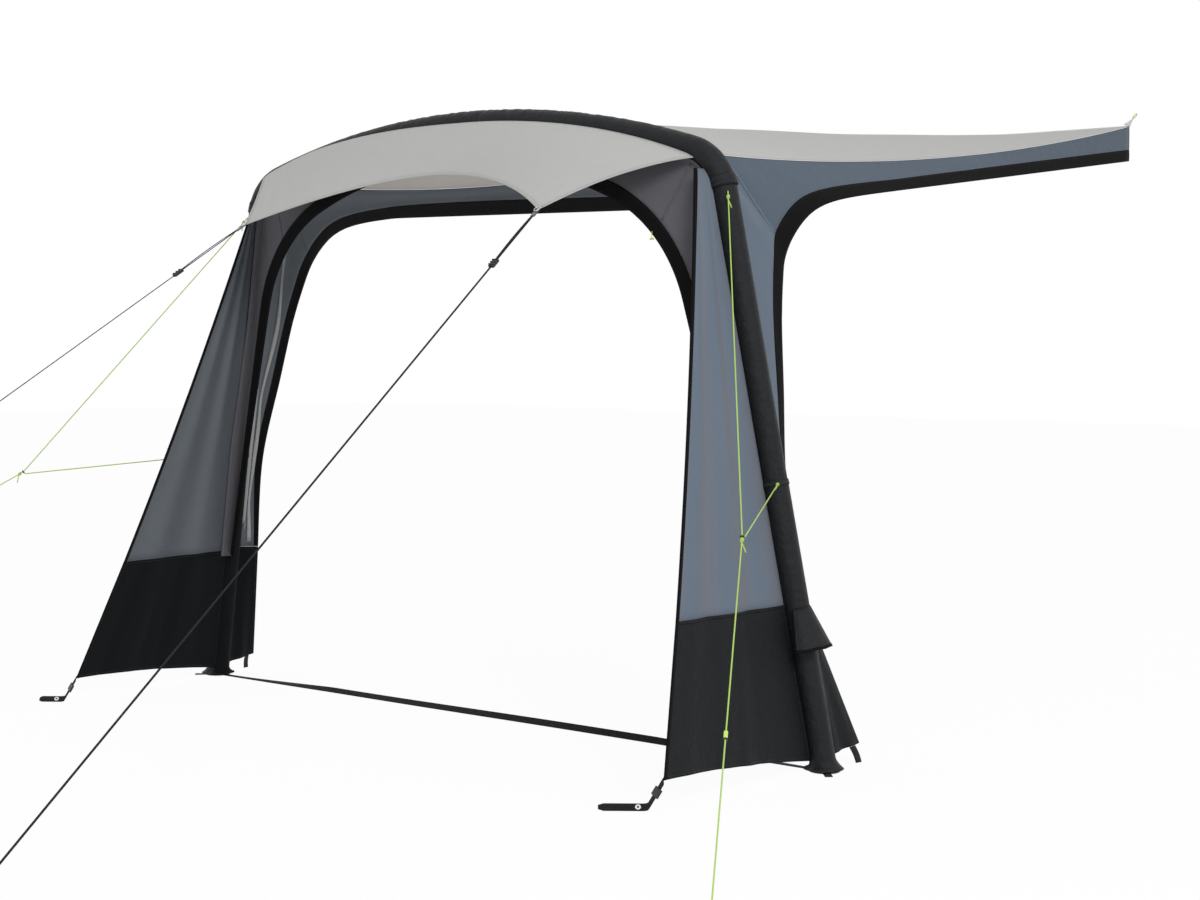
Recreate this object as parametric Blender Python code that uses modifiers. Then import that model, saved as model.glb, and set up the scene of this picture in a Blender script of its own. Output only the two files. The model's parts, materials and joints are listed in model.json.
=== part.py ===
"""An inflatable awning for a campervan: one air beam arch in zipped sleeves carries a canopy that runs back to the
van's rail, with a visor, cut-away side walls, front wings with skirts, and straps and guy lines that hold it down.

X runs along the van, -Y is the open front and +Z is up. The origin lies on the ground, midway between the arch's feet.
"""

import math

import bmesh
import bpy
from mathutils import Matrix, Vector

# Arch: a crown arc, two shoulder arcs and two straight legs, all in one plane that leans forward
FOOT_HALF_SPAN = 1.452
LEG_TILT = math.radians(10.62)
SHOULDER_RADIUS = 0.18
CROWN_RADIUS = 3.38
CROWN_HEIGHT = 2.146
FORWARD_LEAN = math.radians(2.52)

# Air beam and its sleeves
BLADDER_RADIUS = 0.040
BLADDER_WALL = 0.0012
SLEEVE_WALL = 0.0012
TUBE_SIDES = 12
SLEEVE_STEP_HEIGHT = 0.925
SLEEVE_LAP = 0.05
BOOT_HEIGHT = 0.036
BOOT_FLARE = 0.024
BOOT_HEM = 0.0085

# Cloth and webbing
CLOTH = 0.002
CLEARANCE = 0.0003
WEBBING_WIDTH = 0.025
WEBBING = 0.002

# Canopy
RAIL_HALF_LENGTH = 1.26
RAIL_DISTANCE = 2.80
RAIL_HEIGHT = 2.325
SEAM_SAG_POWER = 1.77
MIDDLE_SAG_POWER = 1.15
KEDER_RADIUS = 0.0035

# Visor
VISOR_CORNER = Vector((0.688, -0.527, 1.786))
VISOR_MIDDLE = Vector((0.0, -0.280, 1.947))
VISOR_SIDE_DRAW = 0.055
VISOR_BELLY = 0.012

# Front wings and skirts
WING_TOP = Vector((1.035, -0.160, 1.930))
WING_CORNER = Vector((1.372, -0.765, 0.090))
WING_BOW = 0.030
SKIRT_HEIGHT = 0.53
SKIRT_HEM_CLEARANCE = 0.004
SKIRT_HEM_RISE = 0.012
WING_FOLD = 0.007
WING_FOLDS = 2.5
REAR_SKIRT_CORNER = Vector((1.461, 0.202, 0.060))

# Front opening: the inner trim arch, a little in front of the beam
OPENING_HALF_SPAN = 1.380
OPENING_TILT = math.radians(14.85)
OPENING_SHOULDER = 0.528
OPENING_CROWN = 1.70
OPENING_HEIGHT = 2.000
OPENING_FORWARD = 0.074
OPENING_FOOT = 0.512
TRIM_WIDTH = 0.051
TRIM_FOOT_WIDTH = 0.020
TRIM_NARROWS_BELOW = 1.5
TRIM_GAP = 0.0013

# The fascia's cover over each leg, as (angle round the beam, lift off it): loose at the foot and close above
COVER_LOOSE = ((-114, 0.0327), (-125, 0.0207), (-142, 0.0087), (-160, 0.0037))
COVER_CLOSE = ((-127, 0.0032), (-134, 0.0030), (-142, 0.0015), (-150, 0.0))
COVER_LOOSE_BELOW = 0.95
COVER_CLOSE_ABOVE = 1.45

# Side doorway: the upright's (distance behind the feet, height, turn inwards), then the head that rises to the rail
DOORWAY_UPRIGHT = (
    (0.092, SKIRT_HEIGHT + 0.0008, 0.044),
    (0.070, 0.890, 0.030),
    (0.122, 1.220, 0.018),
    (0.165, 1.474, 0.008),
    (0.222, 1.666, 0.000),
)
DOORWAY_HEAD_HEIGHT = 1.800
DOORWAY_HEAD_SLOPE = 0.1335
DOORWAY_CORNER_DROP = 0.164
DOORWAY_CORNER_LENGTH = 0.123
SIDE_TRIM_WIDTH = 0.055
SIDE_TRIM_LEG_WIDTH = 0.050
SIDE_TRIM_FOOT_WIDTH = 0.026
SIDE_TRIM_SHARE = 0.70

# Zip on the inner face of each side wall
ZIP_FOOT = 0.60
ZIP_TOP = 1.15
ZIP_SHARE = 0.70
ZIP_SEAM_SHARE = 0.95
ZIP_STAND_OFF = 0.0062
ZIP_CHAIN = 0.006
ZIP_THICKNESS = 0.001
SLIDER_LENGTH = 0.014
SLIDER_WALL = 0.0014

# Valve and its hood, on the outer face of the right leg
VALVE_HEIGHT = 0.435
VALVE_BORE = 0.0100
VALVE_STEM = 0.0118
VALVE_NECK = 0.0160
VALVE_FLANGE = 0.0240
VALVE_FLANGE_THICKNESS = 0.003
VALVE_NECK_LENGTH = 0.012
VALVE_CAP_WALL = 0.002
HOOD_TOP = 0.520
HOOD_BOTTOM = 0.385
HOOD_FLARE = 0.092
HOOD_WRAP = math.radians(75)

# Feet
FOOT_PAD_RADIUS = 0.050
FOOT_PAD_THICKNESS = 0.006
FOOT_EAR_LENGTH = 0.052
FOOT_EAR_THICKNESS = 0.003
FOOT_EAR_TURN = math.radians(-50)
REAR_TAB_SHARES = (4 / 6, 5 / 6)
REAR_TAB_OUT = 0.018
REAR_TAB_BACK = 0.012

# Storm straps from the visor's corners to the ground
STORM_STRAP_END = Vector((1.160, -3.156, 0.006))
STORM_STRAP_RADIUS = 0.0035
STORM_CLIP_LENGTH = 0.042
STORM_BUCKLE_LENGTH = 0.040
STORM_BUCKLE_SHARE = 0.090

# Guy lines: a long line from high on the leg, with a branch that meets it at a ring
GUY_TOP_HEIGHT = 1.850
GUY_TOP_ANGLE = math.radians(-45)
GUY_BRANCH_HEIGHT = 0.915
GUY_RING = Vector((1.654, -0.791, 0.841))
GUY_RING_LIFT = 0.020
GUY_END = Vector((2.428, -2.082, 0.004))
GUY_RADIUS = 0.002
GUY_RUNNER_SHARE = 0.50
GUY_RUNNER_LENGTH = 0.026

# Peg straps at the corners of the front wings: each drops to the ground and its tail lies to the left
PEG_STRAP_DIRECTIONS = {1: Vector((-0.792, -0.610, 0.0)), -1: Vector((-0.794, -0.608, 0.0))}
PEG_STRAP_LENGTHS = {1: 0.192, -1: 0.140}
PEG_STRAP_DROP = 0.045
PEG_STRAP_TWIST = math.radians(45)
PEG_BUCKLE_LENGTH = 0.028
PEG_BUCKLE_DROP = 0.45
PEG_EYELET_DISTANCE = 0.075
PEG_EYELET_RADIUS = 0.0050
PEG_EYELET_FLANGE = 0.0085

# Rear corners
CORNER_TAB = 0.070
CORNER_TAB_TIP = Vector((0.022, -0.020, 0.026))
LOOP_RADIUS = 0.013
LOOP_CORD = 0.002

# Edges that turn by more than this are drawn sharp on round pieces
SHARP = math.radians(40)

COLOURS = {
    "light_grey_cloth": ((0.50, 0.495, 0.48), 0.85),
    "blue_grey_cloth": ((0.155, 0.19, 0.235), 0.85),
    "black_cloth": ((0.018, 0.020, 0.022), 0.90),
    "webbing": ((0.010, 0.010, 0.011), 0.80),
    "black_plastic": ((0.012, 0.012, 0.013), 0.40),
    "lime_cord": ((0.55, 0.78, 0.18), 0.60),
    "lime_plastic": ((0.55, 0.78, 0.18), 0.40),
    "white_cloth": ((0.80, 0.80, 0.78), 0.80),
    "zip_tape": ((0.42, 0.43, 0.42), 0.70),
    "bladder_film": ((0.60, 0.62, 0.62), 0.30),
    "steel": ((0.60, 0.60, 0.60), 0.25),
}


def clear_scene():
    for obj in list(bpy.data.objects):
        bpy.data.objects.remove(obj, do_unlink=True)


def new_collection(name):
    collection = bpy.data.collections.new(name)
    bpy.context.scene.collection.children.link(collection)
    return collection


def material(name):
    found = bpy.data.materials.get(name)
    if found:
        return found
    made = bpy.data.materials.new(name)
    made.use_nodes = True
    colour, roughness = COLOURS[name]
    shader = made.node_tree.nodes["Principled BSDF"]
    shader.inputs["Base Color"].default_value = (*colour, 1.0)
    shader.inputs["Roughness"].default_value = roughness
    shader.inputs["Metallic"].default_value = 1.0 if name == "steel" else 0.0
    return made


def add(name, data, finish):
    """A new object of the awning, with its own copy of a finish."""
    obj = bpy.data.objects.new(name, data)
    PARTS.objects.link(obj)
    data.materials.append(material(finish))
    return obj


def between(start, end, share):
    return start + (end - start) * share


def steps(start, end, count):
    return [start + (end - start) * i / count for i in range(count + 1)]


def side_name(name, side):
    return f"{name}_{'right' if side > 0 else 'left'}"


def sided(point, side):
    return Vector((point.x * side, point.y, point.z))


class Arch:
    """A crown arc, shoulder arcs and straight legs in one plane, measured along its run from the middle of the crown."""

    def __init__(self, half_span, tilt, shoulder, crown, height):
        self.tilt, self.shoulder, self.crown = tilt, shoulder, crown
        self.crown_centre = Vector((0.0, height - crown))
        self.leg_normal = Vector((math.cos(tilt), math.sin(tilt)))
        up_leg = Vector((-math.sin(tilt), math.cos(tilt)))
        on_line = self.leg_normal * (half_span * math.cos(tilt) - shoulder)
        start = on_line - self.crown_centre
        along = start.dot(up_leg)
        climb = -along + math.sqrt(along**2 - start.length_squared + (crown - shoulder) ** 2)
        self.shoulder_centre = on_line + up_leg * climb
        reach = self.shoulder_centre - self.crown_centre
        self.crown_angle = math.atan2(reach.x, reach.y)
        self.crown_run = crown * self.crown_angle
        self.leg_run = self.crown_run + shoulder * (math.pi / 2 - tilt - self.crown_angle)
        self.leg_top = self.shoulder_centre + self.leg_normal * shoulder
        self.down_leg = (Vector((half_span, 0.0)) - self.leg_top).normalized()
        self.foot_run = self.leg_run + (Vector((half_span, 0.0)) - self.leg_top).length

    def at(self, run):
        """The place and the outward normal at a run, positive to the right."""
        side = -1.0 if run < 0 else 1.0
        run = abs(run)
        if run <= self.crown_run:
            angle = run / self.crown
            normal = Vector((math.sin(angle), math.cos(angle)))
            point = self.crown_centre + normal * self.crown
        elif run <= self.leg_run:
            angle = self.crown_angle + (run - self.crown_run) / self.shoulder
            normal = Vector((math.sin(angle), math.cos(angle)))
            point = self.shoulder_centre + normal * self.shoulder
        else:
            normal = self.leg_normal
            point = self.leg_top + self.down_leg * (run - self.leg_run)
        return Vector((point.x * side, point.y)), Vector((normal.x * side, normal.y))

    def run_at(self, height):
        """The run at a height on the straight leg, measured up the arch's plane."""
        return self.foot_run - height / math.cos(self.tilt)

    def stations(self, start, end, crown_steps=9, shoulder_steps=6, leg_steps=8):
        """The runs from start to end at which the arch's tubes and the cloth sewn to them have a row of points."""
        half = steps(0.0, self.crown_run, crown_steps) + steps(self.crown_run, self.leg_run, shoulder_steps)[1:]
        half += steps(self.leg_run, self.foot_run, leg_steps)[1:]
        every = sorted({-run for run in half} | set(half))
        return [start] + [run for run in every if start + 0.004 < run < end - 0.004] + [end]


def place(point, behind):
    """A point of the leaning plane, moved behind it, in the awning's own axes."""
    lean = FORWARD_LEAN
    return Vector((
        point.x,
        behind * math.cos(lean) - point.y * math.sin(lean),
        point.y * math.cos(lean) + behind * math.sin(lean),
    ))


def on_beam(run, angle, radius):
    """A point round the beam: 0 is outwards, 90 degrees is towards the van and 180 degrees is inwards."""
    point, normal = BEAM.at(run)
    return place(point + normal * radius * math.cos(angle), radius * math.sin(angle))


def outwards(run):
    _, normal = BEAM.at(run)
    return place(normal, 0.0).normalized()


BEAM = Arch(FOOT_HALF_SPAN, LEG_TILT, SHOULDER_RADIUS, CROWN_RADIUS, CROWN_HEIGHT)
OPENING = Arch(OPENING_HALF_SPAN, OPENING_TILT, OPENING_SHOULDER, OPENING_CROWN, OPENING_HEIGHT)
INNER_SLEEVE = BLADDER_RADIUS + CLEARANCE + SLEEVE_WALL
OUTER_SLEEVE = INNER_SLEEVE + CLEARANCE + SLEEVE_WALL
ATTACH = OUTER_SLEEVE + CLEARANCE + CLOTH * 0.6
SEWN = OUTER_SLEEVE + CLEARANCE + CLOTH * 0.15
TUBE_FOOT = FOOT_PAD_THICKNESS + CLEARANCE + OUTER_SLEEVE * math.sin(LEG_TILT) + 0.002
SHOULDER_RUN = BEAM.stations(0.0, BEAM.leg_run)[-4]
VISOR_SIDE, VISOR_END = math.radians(-90), math.radians(-112)
ROOF_SIDE, ROOF_END = math.radians(60), math.radians(82)
WING_SIDE, WALL_SIDE = math.radians(-120), math.radians(90)


def cloth(name, surface, columns, rows, finish, thickness=CLOTH, wrap=False):
    """A sheet: a flat grid whose points are carried onto a surface, then given its thickness on both sides."""
    mesh = bpy.data.meshes.new(name)
    grid = bmesh.new()
    across, along = len(columns) - 1, len(rows) - 1
    bmesh.ops.create_grid(grid, x_segments=across, y_segments=along, size=0.5)
    for vert in grid.verts:
        column = columns[round((vert.co.x + 0.5) * across)]
        row = rows[round((vert.co.y + 0.5) * along)]
        vert.co = surface(column, row)
    if wrap:
        bmesh.ops.remove_doubles(grid, verts=grid.verts, dist=1e-5)
    grid.to_mesh(mesh)
    grid.free()
    mesh.shade_smooth()
    obj = add(name, mesh, finish)
    wall = obj.modifiers.new("Thickness", "SOLIDIFY")
    wall.thickness = thickness
    wall.offset = 0.0
    return obj


def cord(name, points, radius, finish):
    """A round cord along points."""
    curve = bpy.data.curves.new(name, "CURVE")
    curve.dimensions = "3D"
    curve.bevel_depth = radius
    curve.bevel_resolution = 2
    curve.use_fill_caps = True
    spline = curve.splines.new("POLY")
    spline.points.add(len(points) - 1)
    for spot, point in zip(spline.points, points):
        spot.co = (*point, 1.0)
    return add(name, curve, finish)


def frame_of(centre, along, across):
    """A matrix that puts X along a direction and Y across it, at a centre."""
    along = along.normalized()
    up = along.cross(across).normalized()
    across = up.cross(along)
    turn = Matrix((along, across, up)).transposed().to_4x4()
    return Matrix.Translation(centre) @ turn


def block(name, size, place_at, finish, bevel=0.001):
    """A block with rounded edges, its length along X of a frame."""
    mesh = bpy.data.meshes.new(name)
    made = bmesh.new()
    bmesh.ops.create_cube(made, size=1.0)
    bmesh.ops.scale(made, vec=size, verts=made.verts)
    made.to_mesh(mesh)
    made.free()
    obj = add(name, mesh, finish)
    obj.matrix_world = place_at
    if bevel:
        edge = obj.modifiers.new("Edges", "BEVEL")
        edge.width = bevel
        edge.segments = 2
        edge.limit_method = "ANGLE"
    return obj


def as_cutter(obj):
    PARTS.objects.unlink(obj)
    CUTTERS.objects.link(obj)
    obj.hide_render = True
    obj.display_type = "WIRE"
    return obj


def cut(obj, cutter):
    hole = obj.modifiers.new("Cut", "BOOLEAN")
    hole.operation = "DIFFERENCE"
    hole.object = as_cutter(cutter)
    return obj


def rod(name, start, end, radius, finish, sides=20):
    """A round rod from one point to another."""
    mesh = bpy.data.meshes.new(name)
    made = bmesh.new()
    axis = end - start
    bmesh.ops.create_cone(
        made, cap_ends=True, segments=sides, radius1=radius, radius2=radius, depth=axis.length
    )
    made.to_mesh(mesh)
    made.free()
    mesh.shade_smooth()
    mesh.set_sharp_from_angle(angle=SHARP)
    obj = add(name, mesh, finish)
    obj.matrix_world = Matrix.Translation((start + end) / 2) @ axis.to_track_quat("Z", "Y").to_matrix().to_4x4()
    return obj


def turned(name, profile, origin, axis, finish, sides=28):
    """A turned shape: (radius, height) pairs down the outer side and up the inner one, turned about an axis."""
    mesh = bpy.data.meshes.new(name)
    made = bmesh.new()
    verts = [made.verts.new((radius, 0.0, height)) for radius, height in profile]
    closed = zip(verts, verts[1:] + verts[:1])
    for first, second in closed:
        if first.co.x > 0 or second.co.x > 0:
            made.edges.new((first, second))
    made.to_mesh(mesh)
    made.free()
    obj = add(name, mesh, finish)
    obj.matrix_world = Matrix.Translation(origin) @ axis.to_track_quat("Z", "Y").to_matrix().to_4x4()
    turn = obj.modifiers.new("Turn", "SCREW")
    turn.steps = turn.render_steps = sides
    turn.use_merge_vertices = True
    turn.merge_threshold = 1e-5
    return obj


def ring(name, centre, axis, radius, wire, finish, turns=16, sides=8):
    mesh = bpy.data.meshes.new(name)
    made = bmesh.new()
    bmesh.ops.create_circle(made, segments=sides, radius=wire)
    bmesh.ops.rotate(made, verts=made.verts, matrix=Matrix.Rotation(math.pi / 2, 3, "X"))
    bmesh.ops.translate(made, verts=made.verts, vec=(radius, 0.0, 0.0))
    bmesh.ops.spin(
        made, geom=made.verts[:] + made.edges[:], axis=(0, 0, 1), cent=(0, 0, 0), angle=2 * math.pi, steps=turns,
        use_merge=True,
    )
    bmesh.ops.remove_doubles(made, verts=made.verts, dist=1e-6)
    bmesh.ops.recalc_face_normals(made, faces=made.faces)
    made.to_mesh(mesh)
    made.free()
    mesh.shade_smooth()
    obj = add(name, mesh, finish)
    obj.matrix_world = Matrix.Translation(centre) @ axis.to_track_quat("Z", "Y").to_matrix().to_4x4()
    return obj


# Air beam and sleeves


def round_the_beam(radius):
    return lambda angle, run: on_beam(run, angle, radius)


def sleeve(name, rows, outer_radius, surface=None):
    angles = steps(0.0, 2 * math.pi, TUBE_SIDES)
    surface = surface or round_the_beam(outer_radius - SLEEVE_WALL / 2)
    return cloth(name, surface, angles, rows, "black_cloth", SLEEVE_WALL, wrap=True)


def boot(angle, run):
    """The lower leg sleeve, which spreads to a level hem just above the ground."""
    top, foot = BEAM.run_at(BOOT_HEIGHT), BEAM.run_at(TUBE_FOOT)
    spread = max(0.0, (abs(run) - top) / (foot - top))
    point = on_beam(run, angle, OUTER_SLEEVE - SLEEVE_WALL / 2 + BOOT_FLARE * spread**2)
    point.z = between(point.z, BOOT_HEM, spread**2)
    return point


def air_beam():
    """The bladder: a closed tube with rounded ends and a hole for the valve's stem."""
    end = BEAM.run_at(FOOT_PAD_THICKNESS + CLEARANCE + BLADDER_WALL / 2)
    runs = BEAM.stations(-end + BLADDER_RADIUS, end - BLADDER_RADIUS)
    ends = ((0.0, 0.0), (0.3, 0.55), (0.65, 0.85))
    rows = [(-end + share * BLADDER_RADIUS, size) for share, size in ends]
    rows += [(run, 1.0) for run in runs]
    rows += [(end - share * BLADDER_RADIUS, size) for share, size in reversed(ends)]
    radius = BLADDER_RADIUS - BLADDER_WALL / 2

    def surface(angle, row):
        run, size = row
        return on_beam(run, angle, radius * size)

    angles = steps(0.0, 2 * math.pi, TUBE_SIDES)
    beam = cloth("air_beam", surface, angles, rows, "bladder_film", BLADDER_WALL, wrap=True)
    cut(beam, valve_hole("bladder_hole"))


def valve_hole(name):
    run = BEAM.run_at(VALVE_HEIGHT)
    start = on_beam(run, 0.0, BLADDER_RADIUS * 0.5)
    end = on_beam(run, 0.0, OUTER_SLEEVE + 0.01)
    return rod(name, start, end, VALVE_STEM + CLEARANCE, "steel", sides=24)


def sleeves():
    """The crown sleeve laps over the upper leg sleeves, and the lower leg sleeves lap over them too."""
    crown_end = BEAM.leg_run + 0.012
    sleeve("sleeve_crown", BEAM.stations(-crown_end, crown_end), OUTER_SLEEVE)
    foot = BEAM.run_at(TUBE_FOOT)
    lap_top = BEAM.run_at(SLEEVE_STEP_HEIGHT)
    lap_bottom = BEAM.run_at(SLEEVE_STEP_HEIGHT - SLEEVE_LAP)
    upper_top = BEAM.leg_run - 0.0001
    for side in (-1, 1):
        upper = BEAM.stations(*sorted((side * upper_top, side * lap_bottom)))
        sleeve(side_name("sleeve_upper", side), upper, INNER_SLEEVE)
        lower = BEAM.stations(lap_top, BEAM.run_at(BOOT_HEIGHT))
        lower += steps(BEAM.run_at(BOOT_HEIGHT), foot, 3)[1:]
        lower = sorted(side * run for run in lower)
        skin = sleeve(side_name("sleeve_lower", side), lower, OUTER_SLEEVE, boot)
        if side > 0:
            cut(skin, valve_hole("sleeve_hole"))


def foot_pads():
    """A round pad under each leg, with an ear that takes a peg in front of it."""
    for side in (-1, 1):
        centre = Vector((side * FOOT_HALF_SPAN, 0.0, 0.0))
        profile = [
            (0.0, FOOT_PAD_THICKNESS),
            (FOOT_PAD_RADIUS - 0.002, FOOT_PAD_THICKNESS),
            (FOOT_PAD_RADIUS, FOOT_PAD_THICKNESS - 0.002),
            (FOOT_PAD_RADIUS, 0.0),
            (0.0, 0.0),
        ]
        name = side_name("foot_pad", side)
        pad = turned(name, profile, centre, Vector((0, 0, 1)), "black_plastic")
        outward = Vector((side * math.cos(FOOT_EAR_TURN), math.sin(FOOT_EAR_TURN), 0.0))
        across = outward.cross(Vector((0, 0, 1)))
        middle = centre + outward * (FOOT_PAD_RADIUS - 0.01 + FOOT_EAR_LENGTH / 2)
        middle.z = FOOT_EAR_THICKNESS / 2
        size = (FOOT_EAR_LENGTH, WEBBING_WIDTH, FOOT_EAR_THICKNESS)
        ear = as_cutter(block(name + "_ear", size, frame_of(middle, outward, across), "black_plastic", 0.0))
        join = pad.modifiers.new("Ear", "BOOLEAN")
        join.operation = "UNION"
        join.object = ear
        hole = centre + outward * (FOOT_PAD_RADIUS - 0.01 + FOOT_EAR_LENGTH - 0.011)
        up = Vector((0, 0, 0.02))
        cut(pad, rod(name + "_hole", hole - up, hole + up, PEG_EYELET_RADIUS, "steel", sides=12))


# Canopy


def roof_point(share, back):
    """The roof at a share of its half width and a share of the way from the arch to the rail."""
    front = on_beam(share * SHOULDER_RUN, between(ROOF_SIDE, ROOF_END, share**4), ATTACH)
    rail = Vector((share * RAIL_HALF_LENGTH, RAIL_DISTANCE, RAIL_HEIGHT))
    power = MIDDLE_SAG_POWER + (SEAM_SAG_POWER - MIDDLE_SAG_POWER) * share**2
    point = between(front, rail, back)
    point.z = front.z + (rail.z - front.z) * back**power
    return point


def roof():
    half = [run / SHOULDER_RUN for run in BEAM.stations(-SHOULDER_RUN, SHOULDER_RUN)]
    cloth("roof_panel", roof_point, half, steps(0.0, 1.0, 10), "light_grey_cloth")
    bead_y = RAIL_DISTANCE + CLEARANCE + KEDER_RADIUS
    ends = [Vector((side * RAIL_HALF_LENGTH, bead_y, RAIL_HEIGHT)) for side in (-1, 1)]
    rod("keder_bead", ends[0], ends[1], KEDER_RADIUS, "white_cloth", sides=12)


def visor_point(share, forward):
    drawn = share * (1 - VISOR_SIDE_DRAW * 4 * forward * (1 - forward))
    rear = on_beam(drawn * SHOULDER_RUN, between(VISOR_SIDE, VISOR_END, share**4), ATTACH)
    front = Vector((
        VISOR_CORNER.x * drawn,
        between(VISOR_MIDDLE.y, VISOR_CORNER.y, drawn**2),
        between(VISOR_MIDDLE.z, VISOR_CORNER.z, drawn**2),
    ))
    point = between(rear, front, forward)
    point.z += VISOR_BELLY * math.sin(math.pi * forward) * math.cos(share * math.pi / 2)
    return point


def visor():
    half = [run / SHOULDER_RUN for run in BEAM.stations(-SHOULDER_RUN, SHOULDER_RUN)]
    cloth("visor_panel", visor_point, half, steps(0.0, 1.0, 5), "light_grey_cloth")


# Side walls with their doorway trim


def smooth(points, index):
    """A point of a curve that runs smoothly through a list of points, at a whole or part index."""
    start = min(int(index), len(points) - 2)
    share = index - start
    before, after = points[max(start - 1, 0)], points[min(start + 2, len(points) - 1)]
    first, second = points[start], points[start + 1]
    return tuple(
        0.5 * (2 * b + (c - a) * share + (2 * a - 5 * b + 4 * c - d) * share**2 + (3 * b - a - 3 * c + d) * share**3)
        for a, b, c, d in zip(before, first, second, after)
    )


LEG_SHARE = 0.40


def leg_x(z):
    return FOOT_HALF_SPAN - math.tan(LEG_TILT) * z / math.cos(FORWARD_LEAN)


def doorway_head(y):
    """The height of the doorway's head at a distance behind the feet: it rises out of the corner, then straight."""
    corner = DOORWAY_CORNER_DROP * math.exp(-(y - DOORWAY_UPRIGHT[-1][0]) / DOORWAY_CORNER_LENGTH)
    return DOORWAY_HEAD_HEIGHT + DOORWAY_HEAD_SLOPE * y - corner


def doorway_edge(share):
    """The free edge of the side wall, from the skirt up and back to the rail."""
    if share < LEG_SHARE:
        y, z, turn = smooth(DOORWAY_UPRIGHT, share / LEG_SHARE * (len(DOORWAY_UPRIGHT) - 1))
        return Vector((leg_x(z) - turn, y, z))
    back = ((share - LEG_SHARE) / (1 - LEG_SHARE)) ** 1.15
    bend_y, bend_z, _ = DOORWAY_UPRIGHT[-1]
    y = between(bend_y, RAIL_DISTANCE, back)
    return Vector((between(leg_x(bend_z), RAIL_HALF_LENGTH, back**0.85), y, doorway_head(y)))


def wall_edge(share):
    """The sewn edge of the side wall: up the back of the leg, then under the roof's side seam."""
    if share < LEG_SHARE:
        foot, top = BEAM.run_at(DOORWAY_UPRIGHT[0][1]), SHOULDER_RUN + 0.006
        return on_beam(between(foot, top, share / LEG_SHARE), WALL_SIDE, SEWN)
    back = (share - LEG_SHARE) / (1 - LEG_SHARE)
    corner = on_beam(SHOULDER_RUN + 0.006, WALL_SIDE, SEWN)
    seam = roof_point(1.0, back)
    under = Vector((0.0015, 0.0, CLOTH * 1.1))
    start = roof_point(1.0, 0.0) - corner
    return seam - between(start, under, min(1.0, back / 0.05))


def side_point(share, inward):
    """The side wall at a share of its length and a distance in from its free edge towards its sewn edge."""
    edge, sewn = doorway_edge(share), wall_edge(share)
    return between(edge, sewn, inward)


def trim_share(share, extra=0.0):
    """The trim's part of the wall's width: narrow low on the leg and widest under the roof."""
    width = (wall_edge(share) - doorway_edge(share)).length
    if share < LEG_SHARE:
        trim = between(SIDE_TRIM_FOOT_WIDTH, SIDE_TRIM_LEG_WIDTH, share / LEG_SHARE)
    else:
        trim = between(SIDE_TRIM_LEG_WIDTH, SIDE_TRIM_WIDTH, (share - LEG_SHARE) / (1 - LEG_SHARE))
    return (min(trim, SIDE_TRIM_SHARE * width) + extra) / width


def side_walls():
    lengths = steps(0.0, LEG_SHARE, 12) + steps(LEG_SHARE, 0.52, 9)[1:] + steps(0.52, 1.0, 9)[1:]
    for side in (-1, 1):

        def wall(across, share):
            point = side_point(share, between(trim_share(share, 2 * CLEARANCE), 1.0, across))
            return sided(point, side)

        def trim(across, share):
            return sided(side_point(share, trim_share(share) * across), side)

        cloth(side_name("side_wall", side), wall, steps(0.0, 1.0, 4), lengths, "blue_grey_cloth")
        cloth(side_name("side_trim", side), trim, steps(0.0, 1.0, 1), lengths, "black_cloth")


# Front wings, skirts and fascia


def wing_edge(height):
    """The free front edge of a wing, which bows in towards the leg."""
    share = (WING_TOP.z - height) / (WING_TOP.z - WING_CORNER.z)
    point = between(WING_TOP, WING_CORNER, share)
    point.y += WING_BOW * 4 * share * (1 - share)
    return point


def fold(forward, fullness):
    """How far the cloth stands out of its plane, in upright folds that die out at both edges."""
    return WING_FOLD * fullness * math.sin(forward * WING_FOLDS * 2 * math.pi) * math.sin(math.pi * forward)


def wing_point(forward, run):
    sewn = on_beam(run, WING_SIDE, SEWN)
    height = min(sewn.z, WING_TOP.z)
    point = between(sewn, wing_edge(height), forward)
    fullness = min(1.0, (WING_TOP.z - height) / 0.6)
    point.x += fold(forward, fullness)
    return point


def skirt_point(forward, drop):
    """The skirt below a wing, from the split line down to a hem that rises towards its pegged corner."""
    top_run, hem_run = BEAM.run_at(SKIRT_HEIGHT), BEAM.run_at(BOOT_HEIGHT + SKIRT_HEM_CLEARANCE)
    top = wing_point(forward, top_run)
    hem = between(on_beam(hem_run, WING_SIDE, SEWN), WING_CORNER, forward)
    hem.z += SKIRT_HEM_RISE * 4 * forward * (1 - forward)
    hem.x += fold(forward, 0.6)
    start = CLEARANCE / (top - hem).length
    return between(top, hem, between(start, 1.0, drop))


def rear_skirt_point(back, drop):
    top_run, hem_run = BEAM.run_at(SKIRT_HEIGHT), BEAM.run_at(BOOT_HEIGHT + SKIRT_HEM_CLEARANCE)
    sewn = on_beam(between(top_run, hem_run, drop), WALL_SIDE, SEWN)
    corner = doorway_edge(0.0)
    top = Vector((corner.x, corner.y, SKIRT_HEIGHT * math.cos(FORWARD_LEAN)))
    point = between(sewn, between(top, REAR_SKIRT_CORNER, drop), back)
    point.x += WING_FOLD * 0.8 * drop * math.sin(back * 3 * math.pi) * math.sin(math.pi * back)
    return point


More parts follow.
